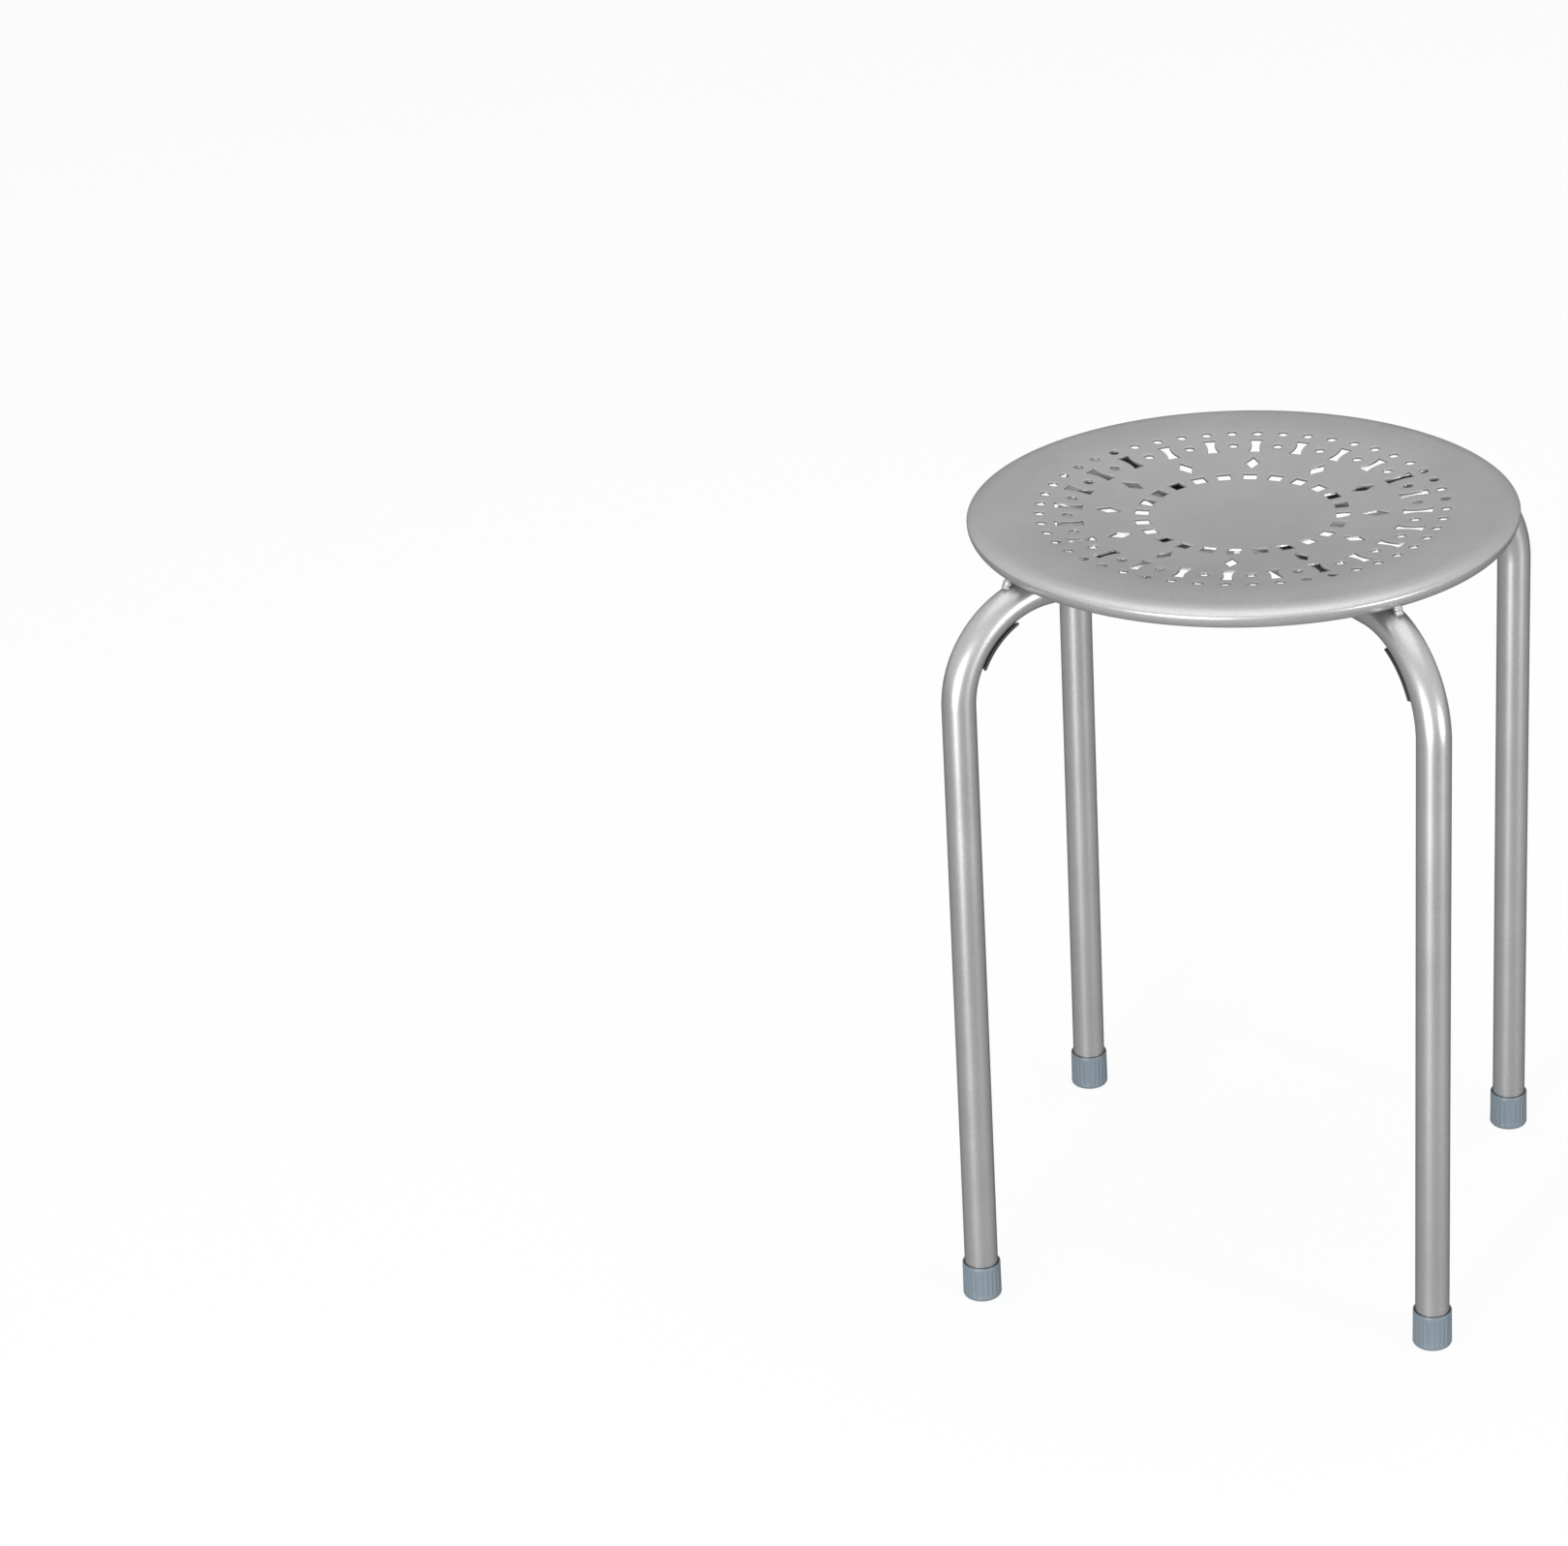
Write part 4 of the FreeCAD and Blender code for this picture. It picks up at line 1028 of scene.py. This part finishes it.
class StoolClipBumpers(bpy.types.Operator):
    """Clip a bumper strip to the inside of each bend."""
    bl_idname = "stool.clip_bumpers"
    bl_label = "Clip on the Bumpers"

    def execute(self, context):
        tone = context.scene.stool_colours.bumper
        plastic = moulded_plastic("bumper_black_plastic", tone, roughness=0.27, speck=0.15)
        for side in LEG_TURNS:
            piece = bumper(side, context.scene.stool_bumper, context.scene.stool_frame.bend, plastic)
            settle(piece, 50, "bumper_plastic", "bend_bumper_" + side)
        return {"FINISHED"}


class StoolPushCaps(bpy.types.Operator):
    """Push a fluted cap on to each leg, over its washer."""
    bl_idname = "stool.push_caps"
    bl_label = "Push on the Caps"

    def execute(self, context):
        colours = context.scene.stool_colours
        plastic = moulded_plastic("cap_grey_plastic", colours.cap, roughness=0.42, speck=0.05)
        plate = zinc_plate("washer_zinc_plate", colours.zinc)
        for side in LEG_TURNS:
            cap = leg_cap(side, context.scene.stool_cap, plastic)
            settle(cap, 40, "cap_plastic", "leg_cap_" + side)
            washer = frame["nodes"]["cap_washer_" + side]
            for place in washer.material_slots:
                place.material = plate
        return {"FINISHED"}


FLOOR_HALF = 9.0
FLOOR_SEEN_SHARE = 0.16
FLOOR_BOUNCE_SHARE = 0.25
LAMP_TARGET = Vector((0.0, 0.0, 0.25))
LAMPS = {
    "key": ((0.35, 0.4), (-23.0, 3.0, 0.21)),
    "side": ((0.3, 0.4), (55.0, 3.0, 0.21)),
    "top": ((2.5, 2.5), (0.0, 0.1, 2.4)),
}


class StoolSetStage(bpy.types.Operator):
    """Lay the studio floor, hang the lights and place the camera."""
    bl_idname = "stool.set_stage"
    bl_label = "Set the Stage"

    def execute(self, context):
        settings = context.scene.stool_stage
        self.floor(context.scene.stool_colours.floor, settings)
        self.world(context, settings)
        for name, (size, place) in LAMPS.items():
            self.lamp(context, name + "_light", getattr(settings, name), size, place)
        self.camera(context, settings)
        context.scene.view_settings.view_transform = "Standard"
        return {"FINISHED"}

    def floor(self, tone, settings):
        """A floor that lights the stool dimly. The camera sees it white, with a shadow on it, and
        metal a share of that."""
        finish = Finish("studio_floor_white")
        lit = finish.node("ShaderNodeBsdfDiffuse", inputs={"Color": (*shade(tone, FLOOR_SEEN_SHARE), 1.0)})
        white = finish.node("ShaderNodeEmission", inputs={
            "Color": (1.0, 1.0, 1.0, 1.0), "Strength": settings.glow})
        shown = finish.node("ShaderNodeAddShader", inputs={0: lit, 1: white})
        dim = finish.node("ShaderNodeBsdfDiffuse", inputs={"Color": (*shade(tone, FLOOR_BOUNCE_SHARE), 1.0)})
        mixed = finish.node("ShaderNodeMixShader", inputs={
            0: finish.seen(settings.in_metal), 1: dim, 2: shown})
        finish.close("ShaderNodeOutputMaterial", mixed)
        corners = [(FLOOR_HALF * x, FLOOR_HALF * y, 0.0) for x, y in ((-1, -1), (1, -1), (1, 1), (-1, 1))]
        new_piece("studio_floor", corners, [(0, 1, 2, 3)], finish.material)

    def world(self, context, settings):
        """An even dome that lights the stool, and a white backdrop where it is seen."""
        world = bpy.data.worlds.new("studio_light")
        nodes = ShaderNodes(world)
        strength = nodes.seen() * (settings.backdrop - settings.ambient) + settings.ambient
        sky = nodes.node("ShaderNodeBackground", inputs={
            "Color": (1.0, 1.0, 1.0, 1.0), "Strength": strength})
        nodes.close("ShaderNodeOutputWorld", sky)
        context.scene.world = world

    def lamp(self, context, name, power, size, place):
        """A soft light of a width and a height, whose place is the degrees that it stands round
        from the camera, its distance along the floor and its height."""
        around, distance, height = place
        azimuth = context.scene.stool_stage.azimuth + math.radians(around)
        light = bpy.data.lights.new(name, "AREA")
        light.energy = power
        light.shape = "RECTANGLE"
        light.size, light.size_y = size
        lamp = bpy.data.objects.new(name, light)
        lamp.location = (distance * math.cos(azimuth), distance * math.sin(azimuth), height)
        aim = LAMP_TARGET - lamp.location
        lamp.rotation_euler = aim.to_track_quat("-Z", "Y").to_euler()
        context.scene.collection.objects.link(lamp)

    def camera(self, context, settings):
        """Stand at a place round the stool, then turn, tilt and roll the view."""
        azimuth = settings.azimuth
        place = Vector((
            settings.distance * math.cos(azimuth), settings.distance * math.sin(azimuth), settings.height))
        facing = azimuth + math.pi + settings.heading
        forward = Vector((
            math.cos(settings.pitch) * math.cos(facing), math.cos(settings.pitch) * math.sin(facing),
            -math.sin(settings.pitch)))
        level = Vector((math.sin(facing), -math.cos(facing), 0.0))
        upward = level.cross(forward)
        right = level * math.cos(settings.roll) + upward * math.sin(settings.roll)
        top = upward * math.cos(settings.roll) - level * math.sin(settings.roll)
        view = bpy.data.cameras.new("photo_camera")
        view.lens = settings.focal
        view.sensor_width = 36.0
        camera = bpy.data.objects.new("photo_camera", view)
        turned = Matrix((right, top, -forward)).transposed().to_4x4()
        camera.matrix_world = Matrix.Translation(place) @ turned
        context.scene.collection.objects.link(camera)
        context.scene.camera = camera


class StoolPanel(bpy.types.Panel):
    """The stool's sizes, colours and steps, in the sidebar."""
    bl_idname = "VIEW3D_PT_stool"
    bl_label = "Stacking Stool"
    bl_space_type = "VIEW_3D"
    bl_region_type = "UI"
    bl_category = "Stool"

    def draw(self, context):
        for group in GROUPS:
            box = self.layout.box()
            for name in GROUPS[group].__annotations__:
                box.prop(getattr(context.scene, group), name)
        for operator in OPERATORS:
            self.layout.operator(operator.bl_idname)


GROUPS = {
    "stool_seat": StoolSeatSizes,
    "stool_frame": StoolFrameSizes,
    "stool_bumper": StoolBumperSizes,
    "stool_cap": StoolCapSizes,
    "stool_colours": StoolFinishColours,
    "stool_stage": StoolStageSettings,
}
OPERATORS = (
    StoolPressSeat, StoolBendFrames, StoolRunWelds, StoolClipBumpers, StoolPushCaps, StoolSetStage)


def register():
    for made in (*GROUPS.values(), *OPERATORS, StoolPanel):
        bpy.utils.register_class(made)
    for name, group in GROUPS.items():
        setattr(bpy.types.Scene, name, bpy.props.PointerProperty(type=group))


def unregister():
    for name in GROUPS:
        delattr(bpy.types.Scene, name)
    for made in reversed((*GROUPS.values(), *OPERATORS, StoolPanel)):
        bpy.utils.unregister_class(made)


def main():
    """Build the whole stool."""
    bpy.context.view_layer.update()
    register()
    bpy.ops.stool.press_seat()
    bpy.ops.stool.bend_frames()
    bpy.ops.stool.run_welds()
    bpy.ops.stool.clip_bumpers()
    bpy.ops.stool.push_caps()
    bpy.ops.stool.set_stage()


if __name__ == "__main__":
    main()
